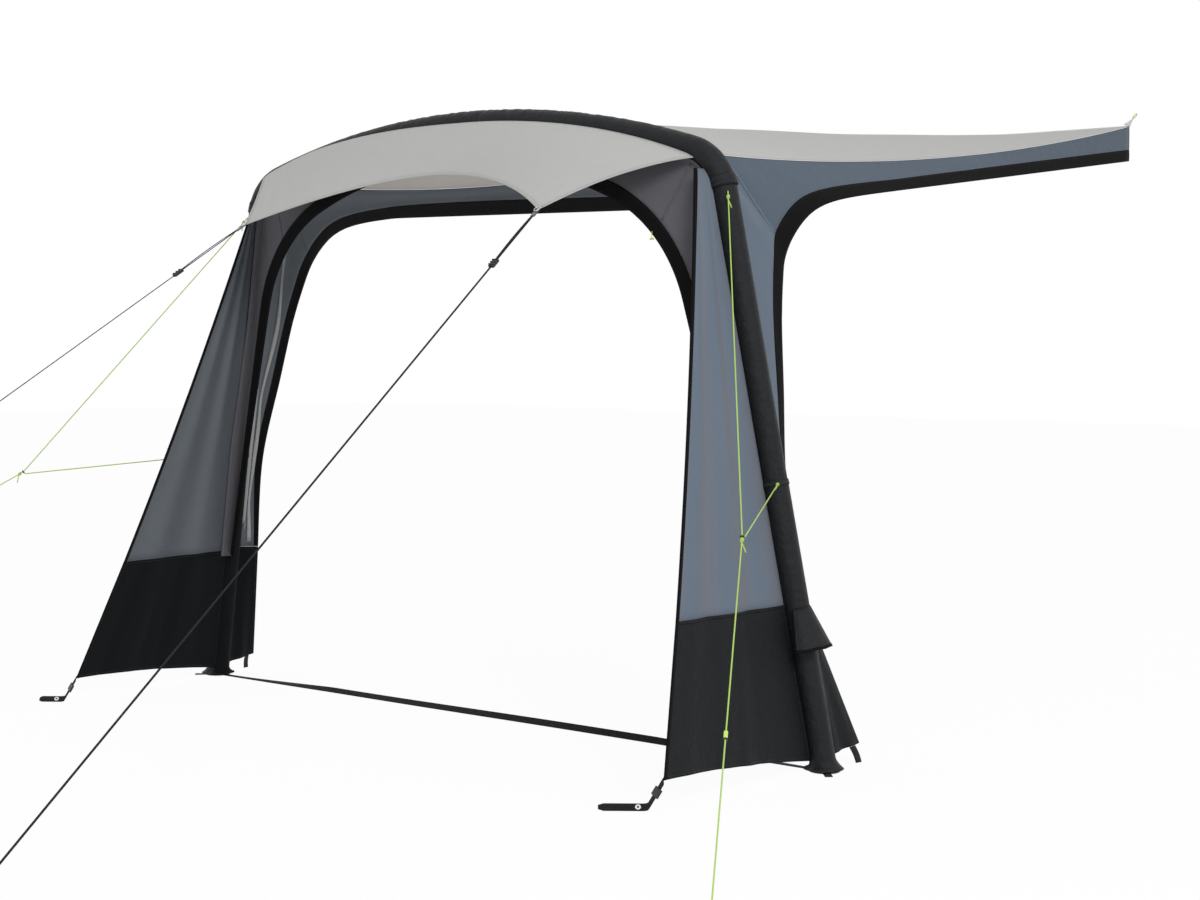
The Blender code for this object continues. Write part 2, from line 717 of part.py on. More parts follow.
def wings_and_skirts():
    forward = steps(0.0, 1.0, 14)
    for side in (-1, 1):
        ends = (SHOULDER_RUN + 0.006, BEAM.run_at(SKIRT_HEIGHT))
        rows = BEAM.stations(*ends)

        def wing(share, run):
            return sided(wing_point(share, run), side)

        def skirt(share, drop):
            return sided(skirt_point(share, drop), side)

        def rear_skirt(share, drop):
            return sided(rear_skirt_point(share, drop), side)

        cloth(side_name("front_wing", side), wing, forward, rows, "blue_grey_cloth")
        cloth(side_name("front_skirt", side), skirt, forward, steps(0.0, 1.0, 4), "black_cloth")
        cloth(side_name("rear_skirt", side), rear_skirt, steps(0.0, 1.0, 6), steps(0.0, 1.0, 4), "black_cloth")


def opening_point(run, width):
    point, normal = OPENING.at(run)
    return place(point + normal * width, -OPENING_FORWARD)


def trim_width(run):
    """The trim's width, which narrows down the legs."""
    height = OPENING.at(run)[0].y
    share = (height - OPENING_FOOT) / (TRIM_NARROWS_BELOW - OPENING_FOOT)
    return between(TRIM_FOOT_WIDTH, TRIM_WIDTH, min(1.0, max(0.0, share)))


def cover_point(column, run):
    """The fascia where it wraps the inner side of the beam."""
    height = on_beam(run, math.pi, ATTACH).z
    close = (height - COVER_LOOSE_BELOW) / (COVER_CLOSE_ABOVE - COVER_LOOSE_BELOW)
    close = min(1.0, max(0.0, close))
    loose_angle, loose_lift = COVER_LOOSE[column]
    close_angle, close_lift = COVER_CLOSE[column]
    angle = math.radians(between(loose_angle, close_angle, close))
    return on_beam(run, angle, ATTACH + between(loose_lift, close_lift, close))


def fascia():
    """The panel between the beam and the trim of the front opening."""
    opening_end = OPENING.run_at(OPENING_FOOT)
    beam_end = BEAM.run_at(OPENING_FOOT)
    shares = [run / beam_end for run in BEAM.stations(-beam_end, beam_end)]

    def panel(column, share):
        run = share * opening_end
        trimmed = opening_point(run, trim_width(run) + TRIM_GAP)
        if column < len(COVER_LOOSE):
            return cover_point(column, share * beam_end)
        sewn = cover_point(len(COVER_LOOSE) - 1, share * beam_end)
        return between(sewn, trimmed, (column - len(COVER_LOOSE) + 1) / 2)

    def trim(inward, share):
        run = share * opening_end
        return opening_point(run, trim_width(run) * (1 - inward))

    cloth("front_fascia", panel, list(range(len(COVER_LOOSE) + 2)), shares, "blue_grey_cloth")
    cloth("front_trim", trim, steps(0.0, 1.0, 1), shares, "black_cloth")


# Zips


def wall_share_at(height):
    """The share of the side wall's length at which its free edge reaches a height."""
    low, high = 0.0, LEG_SHARE
    for _ in range(30):
        middle = (low + high) / 2
        if doorway_edge(middle).z < height:
            low = middle
        else:
            high = middle
    return low


def on_wall(share, inward, side):
    """A point of the side wall proper, a share of the way from its trim to its sewn edge."""
    return sided(side_point(share, between(trim_share(share), 1.0, inward)), side)


def zip_line(side):
    """The foot and the top of the zip's chain, straight and clear of the wall, and its directions."""
    shares = [wall_share_at(height) for height in (ZIP_FOOT, ZIP_TOP)]
    ends = [on_wall(share, ZIP_SHARE, side) for share in shares]
    spread = sum((sided(doorway_edge(share) - wall_edge(share), side) for share in shares), Vector())
    along = (ends[1] - ends[0]).normalized()
    across = (spread - along * spread.dot(along)).normalized()
    inner = along.cross(across) * (1 if along.cross(across).x * side < 0 else -1)
    lift = inner * (CLOTH / 2 + ZIP_STAND_OFF + ZIP_THICKNESS / 2)
    return ends[0] + lift, ends[1] + lift, along, across, inner


def zips():
    """Half a zip on each wall: a tape sewn to the wall along one edge, with a straight chain for the slider."""
    shares = [wall_share_at(height) for height in (ZIP_FOOT, ZIP_TOP)]
    for side in (-1, 1):
        foot, top, along, across, inner = zip_line(side)
        seam_lift = inner * (CLOTH / 2 + CLEARANCE + ZIP_THICKNESS / 2)

        def tape(column, up):
            if column == 0:
                return on_wall(between(*shares, up), ZIP_SEAM_SHARE, side) + seam_lift
            return between(foot, top, up) + across * (ZIP_CHAIN * (column - 1.5))

        cloth(side_name("zip_tape", side), tape, [0, 1, 2], steps(0.0, 1.0, 8), "zip_tape", ZIP_THICKNESS)
        depth = ZIP_THICKNESS + 2 * (CLEARANCE + SLIDER_WALL)
        inside, outside = -ZIP_CHAIN / 4, ZIP_CHAIN / 2 + CLEARANCE + SLIDER_WALL
        start = foot + along * (SLIDER_LENGTH / 2 + 0.004)
        name = side_name("zip_slider", side)
        at = frame_of(start + across * ((inside + outside) / 2), along, across)
        slider = block(name, (SLIDER_LENGTH, outside - inside, depth), at, "steel", 0.0)
        groove_size = (SLIDER_LENGTH * 2, ZIP_CHAIN + 2 * CLEARANCE, ZIP_THICKNESS + 2 * CLEARANCE)
        cut(slider, block(name + "_groove", groove_size, frame_of(start, along, across), "steel", 0.0))


# Valve


def valve():
    run = BEAM.run_at(VALVE_HEIGHT)
    axis = outwards(run)
    seat = on_beam(run, 0.0, OUTER_SLEEVE + CLEARANCE)
    stem = INNER_SLEEVE * 0.12 + SLEEVE_WALL * 2 + BLADDER_WALL
    flange = VALVE_FLANGE_THICKNESS
    neck_top = flange + VALVE_NECK_LENGTH
    body = [
        (VALVE_NECK, neck_top),
        (VALVE_NECK, flange),
        (VALVE_FLANGE, flange),
        (VALVE_FLANGE, 0.0),
        (VALVE_STEM, 0.0),
        (VALVE_STEM, -stem),
        (VALVE_BORE, -stem),
        (VALVE_BORE, neck_top),
    ]
    turned("valve_body", body, seat, axis, "black_plastic")
    head = VALVE_BORE - CLEARANCE
    plunger = [(0.0, neck_top - 0.003), (head, neck_top - 0.003), (head, neck_top - 0.006), (head * 0.4, neck_top - 0.006)]
    plunger += [(head * 0.4, -stem + 0.001), (0.0, -stem + 0.001)]
    turned("valve_plunger", plunger, seat, axis, "black_plastic")
    inside = VALVE_NECK + CLEARANCE
    outside = inside + VALVE_CAP_WALL
    low, high = flange + CLEARANCE, neck_top + CLEARANCE
    cap = [(0.0, high + VALVE_CAP_WALL), (outside, high + VALVE_CAP_WALL), (outside, low), (inside, low)]
    cap += [(inside, high), (0.0, high)]
    turned("valve_cap", cap, seat, axis, "black_plastic")


def valve_hood():
    """A flap over the valve, hinged where its top edge is sewn to the sleeve."""
    top, bottom = BEAM.run_at(HOOD_TOP), BEAM.run_at(HOOD_BOTTOM)
    start = OUTER_SLEEVE + CLEARANCE + CLOTH / 2

    def hood(angle, drop):
        return on_beam(between(top, bottom, drop), angle, between(start, HOOD_FLARE, drop))

    angles = steps(-HOOD_WRAP, HOOD_WRAP, 10)
    flap = cloth("valve_hood", hood, angles, steps(0.0, 1.0, 3), "black_cloth")
    hinge = Matrix.Translation(on_beam(top, 0.0, start))
    flap.data.transform(hinge.inverted())
    flap.matrix_world = hinge


# Straps


def webbing(name, points, across, width=WEBBING_WIDTH, thickness=WEBBING):
    """A flat band along points, lying across a direction."""

    def band(share, index):
        return points[index] + across * (width * share)

    return cloth(name, band, [-0.5, 0.5], list(range(len(points))), "webbing", thickness)


def ground_strap():
    inner = FOOT_HALF_SPAN - FOOT_PAD_RADIUS - CLEARANCE
    size = (2 * inner, WEBBING_WIDTH, WEBBING)
    at = Matrix.Translation((0.0, 0.0, WEBBING / 2))
    block("ground_strap", size, at, "webbing", bevel=0.0)


def rear_peg_tabs():
    """A webbing tab that hangs from the hem of each rear skirt to the ground."""
    for side in (-1, 1):

        def tab(share, drop):
            top = rear_skirt_point(share, 1.0) - Vector((0.0, 0.0, 2 * CLEARANCE))
            end = Vector((top.x + REAR_TAB_OUT, top.y + REAR_TAB_BACK, WEBBING))
            return sided(between(top, end, drop), side)

        cloth(side_name("rear_peg_tab", side), tab, REAR_TAB_SHARES, [0.0, 1.0], "webbing", WEBBING)


def slotted_buckle(name, centre, along, across, length, band, finish):
    """A ladder-lock: a plate with rounded edges that a band runs through, with two windows over it."""
    width, thickness = band[0] + 0.010, band[1] + 0.006
    at = frame_of(centre, along, across)
    body = block(name, (length, width, thickness), at, finish, bevel=0.0012)
    slot = (length * 2, band[0] + 2 * CLEARANCE, band[1] + 2 * CLEARANCE)
    cut(body, block(name + "_slot", slot, at, "steel", 0.0))
    window = (length * 0.26, band[0] * 0.8, thickness)
    for number, offset in enumerate((-0.22, 0.22)):
        shifted = at @ Matrix.Translation((length * offset, 0.0, thickness / 2))
        cut(body, block(f"{name}_window_{number}", window, shifted, "steel", 0.0))
    return body


def peg_straps():
    """The strap from each wing's corner: through its buckle, down to the ground at an eyelet, then a loose tail."""
    up = Vector((0, 0, 1))
    for side in (-1, 1):
        corner, outward = sided(WING_CORNER, side), PEG_STRAP_DIRECTIONS[side]
        across = outward.cross(up).normalized() * math.cos(PEG_STRAP_TWIST) + up * math.sin(PEG_STRAP_TWIST)
        ground = WEBBING_WIDTH / 2 * math.sin(PEG_STRAP_TWIST) + WEBBING
        landing = corner + outward * PEG_STRAP_DROP
        landing.z = ground + 0.003
        start = corner + (landing - corner).normalized() * (CLOTH * 0.6 + CLEARANCE)
        points = [start, between(start, landing, 0.5), landing]
        for distance, height in ((0.007, 0.0008), (0.014, 0.0)):
            points.append(Vector((*(landing + outward * distance).xy, ground + height)))
        lengths = steps(PEG_STRAP_DROP + 0.014, PEG_STRAP_LENGTHS[side], 4)[1:]
        points += [Vector((*(corner + outward * length).xy, ground)) for length in lengths]
        strap = webbing(side_name("peg_strap", side), points, across)
        eyelet = Vector((*(corner + outward * PEG_EYELET_DISTANCE).xy, ground))
        facing = outward.cross(across).normalized()
        rise = facing * 0.01
        name = side_name("peg_eyelet", side)
        cut(strap, rod(name + "_hole", eyelet - rise, eyelet + rise, PEG_EYELET_RADIUS, "steel", sides=20))
        inside = WEBBING / 2 + CLEARANCE
        outside = inside + 0.0010
        tube = PEG_EYELET_RADIUS - CLEARANCE
        grommet = [(PEG_EYELET_FLANGE, outside), (PEG_EYELET_FLANGE, inside), (tube, inside), (tube, -inside)]
        grommet += [(PEG_EYELET_FLANGE, -inside), (PEG_EYELET_FLANGE, -outside), (tube - 0.001, -outside)]
        grommet += [(tube - 0.001, outside)]
        turned(name, grommet, eyelet, facing, "steel", sides=20)
        along = (landing - start).normalized()
        centre = between(start, landing, PEG_BUCKLE_DROP)
        band = (WEBBING_WIDTH, WEBBING)
        slotted_buckle(side_name("peg_buckle", side), centre, along, across, PEG_BUCKLE_LENGTH, band, "black_plastic")


def storm_straps():
    for side in (-1, 1):
        corner, end = sided(VISOR_CORNER, side), sided(STORM_STRAP_END, side)
        along = (end - corner).normalized()
        across = along.cross(Vector((0, 0, 1))).normalized()
        clip_start = corner + along * CLEARANCE
        clip_at = frame_of(clip_start + along * (STORM_CLIP_LENGTH / 2), along, across)
        name = side_name("storm_clip", side)
        clip = block(name, (STORM_CLIP_LENGTH, 0.014, 0.006), clip_at, "black_plastic", bevel=0.0015)
        window = (STORM_CLIP_LENGTH * 0.4, 0.007, 0.02)
        window_at = clip_at @ Matrix.Translation((-STORM_CLIP_LENGTH * 0.15, 0.0, 0.0))
        cut(clip, block(name + "_window", window, window_at, "steel", 0.0))
        start = clip_start + along * (STORM_CLIP_LENGTH + CLEARANCE)
        points = [between(start, end, share) for share in steps(0.0, 1.0, 12)]
        cord(side_name("storm_strap", side), points, STORM_STRAP_RADIUS, "webbing")
        centre = between(start, end, STORM_BUCKLE_SHARE)
        half = along * STORM_BUCKLE_LENGTH
        name = side_name("storm_buckle", side)
        at = frame_of(centre, along, across)
        buckle = block(name, (STORM_BUCKLE_LENGTH, 0.020, 0.011), at, "black_plastic", bevel=0.0025)
        cut(buckle, rod(name + "_bore", centre - half, centre + half, STORM_STRAP_RADIUS + CLEARANCE, "steel", 16))


# Guy lines


def guy_seat(height, meet, side):
    """Where a guy line that runs to a point leaves the leg: its cut end just clears the flat of the sleeve."""
    run = BEAM.run_at(height)
    centre = sided(on_beam(run, 0.0, 0.0), side)
    normal = (sided(on_beam(run, GUY_TOP_ANGLE, 1.0), side) - centre).normalized()
    flat = OUTER_SLEEVE * math.cos(math.pi / TUBE_SIDES)
    slant = (meet - centre).normalized().cross(normal).length
    return centre + normal * (flat + CLEARANCE + GUY_RADIUS * slant)


def guy_lines():
    for side in (-1, 1):
        meet, end = sided(GUY_RING, side), sided(GUY_END, side)
        meet.z -= side * GUY_RING_LIFT
        top, low = guy_seat(GUY_TOP_HEIGHT, meet, side), guy_seat(GUY_BRANCH_HEIGHT, meet, side)
        points = [between(top, meet, share) for share in steps(0.0, 1.0, 8)]
        points += [between(meet, end, share) for share in steps(0.0, 1.0, 8)][1:]
        cord(side_name("guy_line", side), points, GUY_RADIUS, "lime_cord")
        along = (end - top).normalized()
        ring_wire = 0.0025
        ring_radius = GUY_RADIUS + 2 * CLEARANCE + ring_wire
        ring(side_name("guy_ring", side), meet, along, ring_radius, ring_wire, "black_plastic", turns=14, sides=8)
        toward = (low - meet).normalized()
        out_of_ring = (toward - along * toward.dot(along)).normalized()
        slant = toward.cross(out_of_ring).length
        branch_start = meet + out_of_ring * (ring_radius + ring_wire + CLEARANCE + GUY_RADIUS * slant)
        branch = [between(branch_start, low, share) for share in steps(0.0, 1.0, 6)]
        cord(side_name("guy_branch", side), branch, GUY_RADIUS, "lime_cord")
        centre = between(meet, end, GUY_RUNNER_SHARE)
        down = (end - meet).normalized()
        across = down.cross(Vector((0, 0, 1))).normalized()
        name = side_name("guy_runner", side)
        at = frame_of(centre, down, across)
        runner = block(name, (GUY_RUNNER_LENGTH, 0.010, 0.0075), at, "lime_plastic", bevel=0.0012)
        half = down * GUY_RUNNER_LENGTH
        cut(runner, rod(name + "_bore", centre - half, centre + half, GUY_RADIUS + CLEARANCE, "steel", 12))


# Rear corners


def rear_corners():
    """A white three-cornered tab sewn beyond each rear corner of the roof, with an elastic loop at its tip."""
    for side in (-1, 1):
        corner = Vector((side * (RAIL_HALF_LENGTH + CLEARANCE + CLOTH * 0.4), RAIL_DISTANCE, RAIL_HEIGHT))
        tip = sided(CORNER_TAB_TIP, side)

        def tab(share, out):
            base = Vector((0.0, -CORNER_TAB * share, 0.0))
            return corner + between(base, tip + base * 0.2, out)

        cloth(side_name("corner_tab", side), tab, [0.0, 0.5, 1.0], [0.0, 0.5, 1.0], "white_cloth")
        away = Vector((tip.x, 0.0, tip.z)).normalized()
        middle = corner + tip + Vector((0.0, -CORNER_TAB * 0.1, 0.0)) + away * (LOOP_RADIUS + LOOP_CORD + CLEARANCE)
        ring(side_name("corner_loop", side), middle, away.cross(Vector((0, 1, 0))), LOOP_RADIUS, LOOP_CORD, "lime_cord", 14, 8)


clear_scene()
PARTS = new_collection("campervan_awning")
CUTTERS = new_collection("cutters")
air_beam()
sleeves()
foot_pads()
roof()
visor()
side_walls()
wings_and_skirts()
fascia()
zips()
valve()
valve_hood()
ground_strap()
rear_peg_tabs()
peg_straps()
storm_straps()
guy_lines()
rear_corners()
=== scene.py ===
# %% [markdown]
# # An inflatable campervan awning
#
# One air beam makes an arch. Cloth hangs from it: a roof that runs back to the van, a visor, cut-away side walls and
# front wings, all held down by straps and guy lines. The frame of solid parts is packed already, so this lesson
# dresses it: every cloth is sewn again with fine folds, and every hard part gets a finish of its own.

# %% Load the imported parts
import json
from math import atan2, cos, exp, pi, radians, sin, sqrt, tan

import bmesh
import bpy
from mathutils import Matrix, Vector, noise
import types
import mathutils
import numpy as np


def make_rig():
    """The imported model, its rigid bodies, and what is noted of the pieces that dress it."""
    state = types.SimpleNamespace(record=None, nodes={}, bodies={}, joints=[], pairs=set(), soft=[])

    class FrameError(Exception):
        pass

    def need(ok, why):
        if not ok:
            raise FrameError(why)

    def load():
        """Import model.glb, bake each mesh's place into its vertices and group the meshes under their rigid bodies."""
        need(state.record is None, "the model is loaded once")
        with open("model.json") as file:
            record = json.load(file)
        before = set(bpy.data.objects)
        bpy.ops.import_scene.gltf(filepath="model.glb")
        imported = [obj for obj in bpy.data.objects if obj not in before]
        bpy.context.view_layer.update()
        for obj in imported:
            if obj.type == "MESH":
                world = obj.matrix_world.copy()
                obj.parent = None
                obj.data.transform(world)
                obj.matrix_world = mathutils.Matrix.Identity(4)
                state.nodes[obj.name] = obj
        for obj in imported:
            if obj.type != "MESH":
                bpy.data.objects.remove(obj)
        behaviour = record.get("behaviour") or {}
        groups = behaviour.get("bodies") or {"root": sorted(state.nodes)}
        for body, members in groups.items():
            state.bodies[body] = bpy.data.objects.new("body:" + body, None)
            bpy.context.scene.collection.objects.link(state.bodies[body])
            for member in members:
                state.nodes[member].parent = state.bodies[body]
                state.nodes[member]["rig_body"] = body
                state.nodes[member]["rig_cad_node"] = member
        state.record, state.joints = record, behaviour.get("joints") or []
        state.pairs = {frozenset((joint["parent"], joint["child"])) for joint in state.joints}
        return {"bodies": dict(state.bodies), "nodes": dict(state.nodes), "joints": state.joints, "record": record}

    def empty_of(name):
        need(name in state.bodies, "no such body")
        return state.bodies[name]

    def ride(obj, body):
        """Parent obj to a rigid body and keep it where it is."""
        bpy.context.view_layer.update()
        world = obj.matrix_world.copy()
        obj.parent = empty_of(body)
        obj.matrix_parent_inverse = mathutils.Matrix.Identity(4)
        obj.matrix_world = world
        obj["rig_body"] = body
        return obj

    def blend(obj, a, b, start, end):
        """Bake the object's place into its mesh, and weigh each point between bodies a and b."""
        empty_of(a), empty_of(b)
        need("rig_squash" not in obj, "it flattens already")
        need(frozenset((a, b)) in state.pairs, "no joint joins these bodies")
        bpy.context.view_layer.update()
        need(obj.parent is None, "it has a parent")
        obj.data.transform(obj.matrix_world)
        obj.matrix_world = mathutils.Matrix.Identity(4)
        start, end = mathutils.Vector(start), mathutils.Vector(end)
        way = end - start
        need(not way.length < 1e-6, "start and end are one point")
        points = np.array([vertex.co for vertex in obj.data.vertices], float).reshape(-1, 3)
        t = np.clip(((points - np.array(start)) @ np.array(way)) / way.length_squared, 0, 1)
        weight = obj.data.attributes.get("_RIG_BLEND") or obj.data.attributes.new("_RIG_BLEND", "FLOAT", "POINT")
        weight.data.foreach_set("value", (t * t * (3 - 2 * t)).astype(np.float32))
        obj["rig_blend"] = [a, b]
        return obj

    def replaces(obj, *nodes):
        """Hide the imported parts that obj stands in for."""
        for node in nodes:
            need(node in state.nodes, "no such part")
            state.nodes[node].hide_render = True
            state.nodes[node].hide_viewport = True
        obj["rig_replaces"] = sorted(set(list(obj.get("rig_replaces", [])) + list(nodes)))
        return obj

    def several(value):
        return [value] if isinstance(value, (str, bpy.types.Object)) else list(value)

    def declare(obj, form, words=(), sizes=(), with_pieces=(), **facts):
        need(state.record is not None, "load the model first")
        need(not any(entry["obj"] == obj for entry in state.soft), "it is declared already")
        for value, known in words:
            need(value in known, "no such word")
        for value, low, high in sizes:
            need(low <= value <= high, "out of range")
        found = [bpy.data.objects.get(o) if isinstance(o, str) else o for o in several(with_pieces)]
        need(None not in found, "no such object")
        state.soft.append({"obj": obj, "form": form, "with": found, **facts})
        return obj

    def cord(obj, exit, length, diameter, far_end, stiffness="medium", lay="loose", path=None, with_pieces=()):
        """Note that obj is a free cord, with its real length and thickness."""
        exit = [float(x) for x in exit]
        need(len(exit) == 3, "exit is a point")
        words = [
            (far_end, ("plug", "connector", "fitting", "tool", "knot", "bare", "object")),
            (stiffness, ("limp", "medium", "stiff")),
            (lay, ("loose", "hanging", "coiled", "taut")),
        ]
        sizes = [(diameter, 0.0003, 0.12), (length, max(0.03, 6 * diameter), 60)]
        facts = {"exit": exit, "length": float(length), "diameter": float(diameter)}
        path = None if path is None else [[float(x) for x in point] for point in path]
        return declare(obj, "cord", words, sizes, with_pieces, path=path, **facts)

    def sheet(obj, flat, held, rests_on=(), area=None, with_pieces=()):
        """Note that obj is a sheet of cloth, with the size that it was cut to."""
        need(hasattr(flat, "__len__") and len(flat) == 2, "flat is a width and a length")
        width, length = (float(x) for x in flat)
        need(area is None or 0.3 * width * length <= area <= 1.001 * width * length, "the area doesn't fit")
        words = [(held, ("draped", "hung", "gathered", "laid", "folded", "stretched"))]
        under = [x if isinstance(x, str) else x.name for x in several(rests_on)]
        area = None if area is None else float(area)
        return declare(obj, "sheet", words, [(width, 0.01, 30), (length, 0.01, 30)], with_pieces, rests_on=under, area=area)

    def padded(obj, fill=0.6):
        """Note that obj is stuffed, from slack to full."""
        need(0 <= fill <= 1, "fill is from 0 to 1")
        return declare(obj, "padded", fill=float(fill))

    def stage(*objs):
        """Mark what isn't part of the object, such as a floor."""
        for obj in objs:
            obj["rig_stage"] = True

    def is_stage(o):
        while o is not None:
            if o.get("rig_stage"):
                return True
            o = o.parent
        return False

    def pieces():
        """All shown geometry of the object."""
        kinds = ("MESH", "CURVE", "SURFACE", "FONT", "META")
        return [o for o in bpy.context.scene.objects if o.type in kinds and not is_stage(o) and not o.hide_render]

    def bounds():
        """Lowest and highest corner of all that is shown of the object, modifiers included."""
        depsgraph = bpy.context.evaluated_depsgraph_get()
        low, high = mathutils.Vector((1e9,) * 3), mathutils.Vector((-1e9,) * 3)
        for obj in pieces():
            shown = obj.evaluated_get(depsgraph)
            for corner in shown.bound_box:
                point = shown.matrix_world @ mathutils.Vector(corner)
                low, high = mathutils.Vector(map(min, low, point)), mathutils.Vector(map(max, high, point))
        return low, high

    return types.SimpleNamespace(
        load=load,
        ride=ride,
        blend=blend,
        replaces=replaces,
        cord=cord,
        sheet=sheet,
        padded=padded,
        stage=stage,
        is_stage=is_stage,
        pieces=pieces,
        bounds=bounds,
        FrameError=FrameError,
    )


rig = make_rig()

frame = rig.load()
CAD_BOX = [list(corner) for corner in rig.bounds()]
print("CAD box:", [[round(value, 3) for value in corner] for corner in CAD_BOX])

# %% [markdown]
# The camera stands where the photographer stood: low, in front of the right leg, looking back under the roof. Its lens
# is long, so the far leg isn't much smaller than the near one. Its focal length is worked out for an image 1200 pixels
# wide.

# %% Aim the camera
IMAGE_WIDTH, FOCAL_PIXELS, SENSOR_WIDTH = 1200, 1935, 36.0
CAMERA_PLACE = Vector((4.643, -5.287, 1.340))
CAMERA_YAW, CAMERA_PITCH, CAMERA_ROLL = (radians(angle) for angle in (37.850, -2.948, 0.338))


def add_object(name, data):
    obj = bpy.data.objects.new(name, data)
    bpy.context.scene.collection.objects.link(obj)
    return obj


def aim_camera():
    data = bpy.data.cameras.new("photographer")
    data.sensor_width, data.lens = SENSOR_WIDTH, FOCAL_PIXELS / IMAGE_WIDTH * SENSOR_WIDTH
    view = Matrix.Translation(CAMERA_PLACE)
    for angle, axis in ((CAMERA_YAW, "Z"), (pi / 2 + CAMERA_PITCH, "X"), (CAMERA_ROLL, "Z")):
        view = view @ Matrix.Rotation(angle, 4, axis)
    camera = add_object("photographer", data)
    camera.matrix_world = view
    bpy.context.scene.camera = camera
    print("lens:", round(data.lens, 2), "mm")


aim_camera()

# %% [markdown]
# Every sleeve and panel follows the same arch, so the arch is written once as a small class: a long crown arc, two
# tight shoulder arcs and two straight legs in one leaning plane, measured along its run from the middle of the crown.

# %% The arch and the beam that follows it
FOOT_HALF_SPAN, LEG_TILT, FORWARD_LEAN = 1.452, radians(10.62), radians(2.52)
SHOULDER_RADIUS, CROWN_RADIUS, CROWN_HEIGHT = 0.18, 3.38, 2.146
BLADDER_RADIUS, SLEEVE_WALL, CLOTH, CLEARANCE = 0.040, 0.0012, 0.002, 0.0003
SHOULDER_STEPS, LEAST_STEP = 14, 0.004
TURN, SIDES = 2 * pi, (1, -1)
RIGHT, BACK, UP = Vector((1, 0, 0)), Vector((0, 1, 0)), Vector((0, 0, 1))


def between(start, end, share):
    return start + (end - start) * share


def steps(start, end, count):
    """Evenly spaced numbers or points, with both ends."""
    return [start + (end - start) * i / count for i in range(count + 1)]


def clamp(value):
    return min(1.0, max(0.0, value))


def sided(point, side):
    return Vector((point.x * side, point.y, point.z))


def hand(name, side):
    return f"{name}_{'right' if side > 0 else 'left'}"


class Arch:
    """A crown arc, shoulder arcs and straight legs in one plane, measured along its run from the middle."""

    def __init__(self, half_span, tilt, shoulder, crown, height):
        self.tilt, self.shoulder, self.crown = tilt, shoulder, crown
        self.crown_centre, foot = Vector((0.0, height - crown)), Vector((half_span, 0.0))
        self.leg_normal, up_leg = Vector((cos(tilt), sin(tilt))), Vector((-sin(tilt), cos(tilt)))
        on_line = self.leg_normal * (half_span * cos(tilt) - shoulder)
        start = on_line - self.crown_centre
        along = start.dot(up_leg)
        climb = sqrt(along**2 - start.length_squared + (crown - shoulder) ** 2) - along
        self.shoulder_centre = on_line + up_leg * climb
        reach = self.shoulder_centre - self.crown_centre
        self.crown_angle = atan2(reach.x, reach.y)
        self.crown_run = crown * self.crown_angle
        self.leg_run = self.crown_run + shoulder * (pi / 2 - tilt - self.crown_angle)
        self.leg_top = self.shoulder_centre + self.leg_normal * shoulder
        self.down_leg = (foot - self.leg_top).normalized()
        self.foot_run = self.leg_run + (foot - self.leg_top).length

    def at(self, run):
        """The place and the outward normal at a run, positive to the right."""
        side, run = 1.0 if run >= 0 else -1.0, abs(run)
        if run > self.leg_run:
            normal, point = self.leg_normal, self.leg_top + self.down_leg * (run - self.leg_run)
        else:
            angle, centre, radius = run / self.crown, self.crown_centre, self.crown
            if run > self.crown_run:
                angle = self.crown_angle + (run - self.crown_run) / self.shoulder
                centre, radius = self.shoulder_centre, self.shoulder
            normal = Vector((sin(angle), cos(angle)))
            point = centre + normal * radius
        return Vector((point.x * side, point.y)), Vector((normal.x * side, normal.y))

    def run_at(self, height):
        return self.foot_run - height / cos(self.tilt)

    def stations(self, start, end, crown_step=0.035, leg_step=0.030):
        """The runs at which a cloth has a row of points: close together at the shoulders."""
        half = steps(0.0, self.crown_run, round(self.crown_run / crown_step))
        half += steps(self.crown_run, self.leg_run, SHOULDER_STEPS)[1:]
        half += steps(self.leg_run, self.foot_run, round((self.foot_run - self.leg_run) / leg_step))[1:]
        every = sorted({-run for run in half} | set(half))
        return [start] + [run for run in every if start + LEAST_STEP < run < end - LEAST_STEP] + [end]


def place(point, behind):
    """A point of the leaning plane, moved behind it, in the awning's own axes."""
    level, rise = cos(FORWARD_LEAN), sin(FORWARD_LEAN)
    return Vector((point.x, behind * level - point.y * rise, point.y * level + behind * rise))


def on_beam(run, angle, radius):
    """A point round the beam: 0 is outwards, 90 degrees is towards the van and 180 degrees is inwards."""
    point, normal = BEAM.at(run)
    return place(point + normal * radius * cos(angle), radius * sin(angle))


BEAM = Arch(FOOT_HALF_SPAN, LEG_TILT, SHOULDER_RADIUS, CROWN_RADIUS, CROWN_HEIGHT)
INNER_SLEEVE = BLADDER_RADIUS + CLEARANCE + SLEEVE_WALL
OUTER_SLEEVE = INNER_SLEEVE + CLEARANCE + SLEEVE_WALL
ATTACH = OUTER_SLEEVE + CLEARANCE + CLOTH * 0.6
SEWN = OUTER_SLEEVE + CLEARANCE + CLOTH * 0.15
print("beam along its arch:", round(2 * BEAM.foot_run, 3), "m")

# %% [markdown]
# The cords come first. A guy line is one taut lime line from high on the leg, through a small ring, to a peg loop on
# the ground; a branch from lower on the leg meets it at the ring. They are curves with a round bevel: real length and
# thickness, and nothing to model by hand. A storm strap is flat, so it is a thin band swept along its own line.

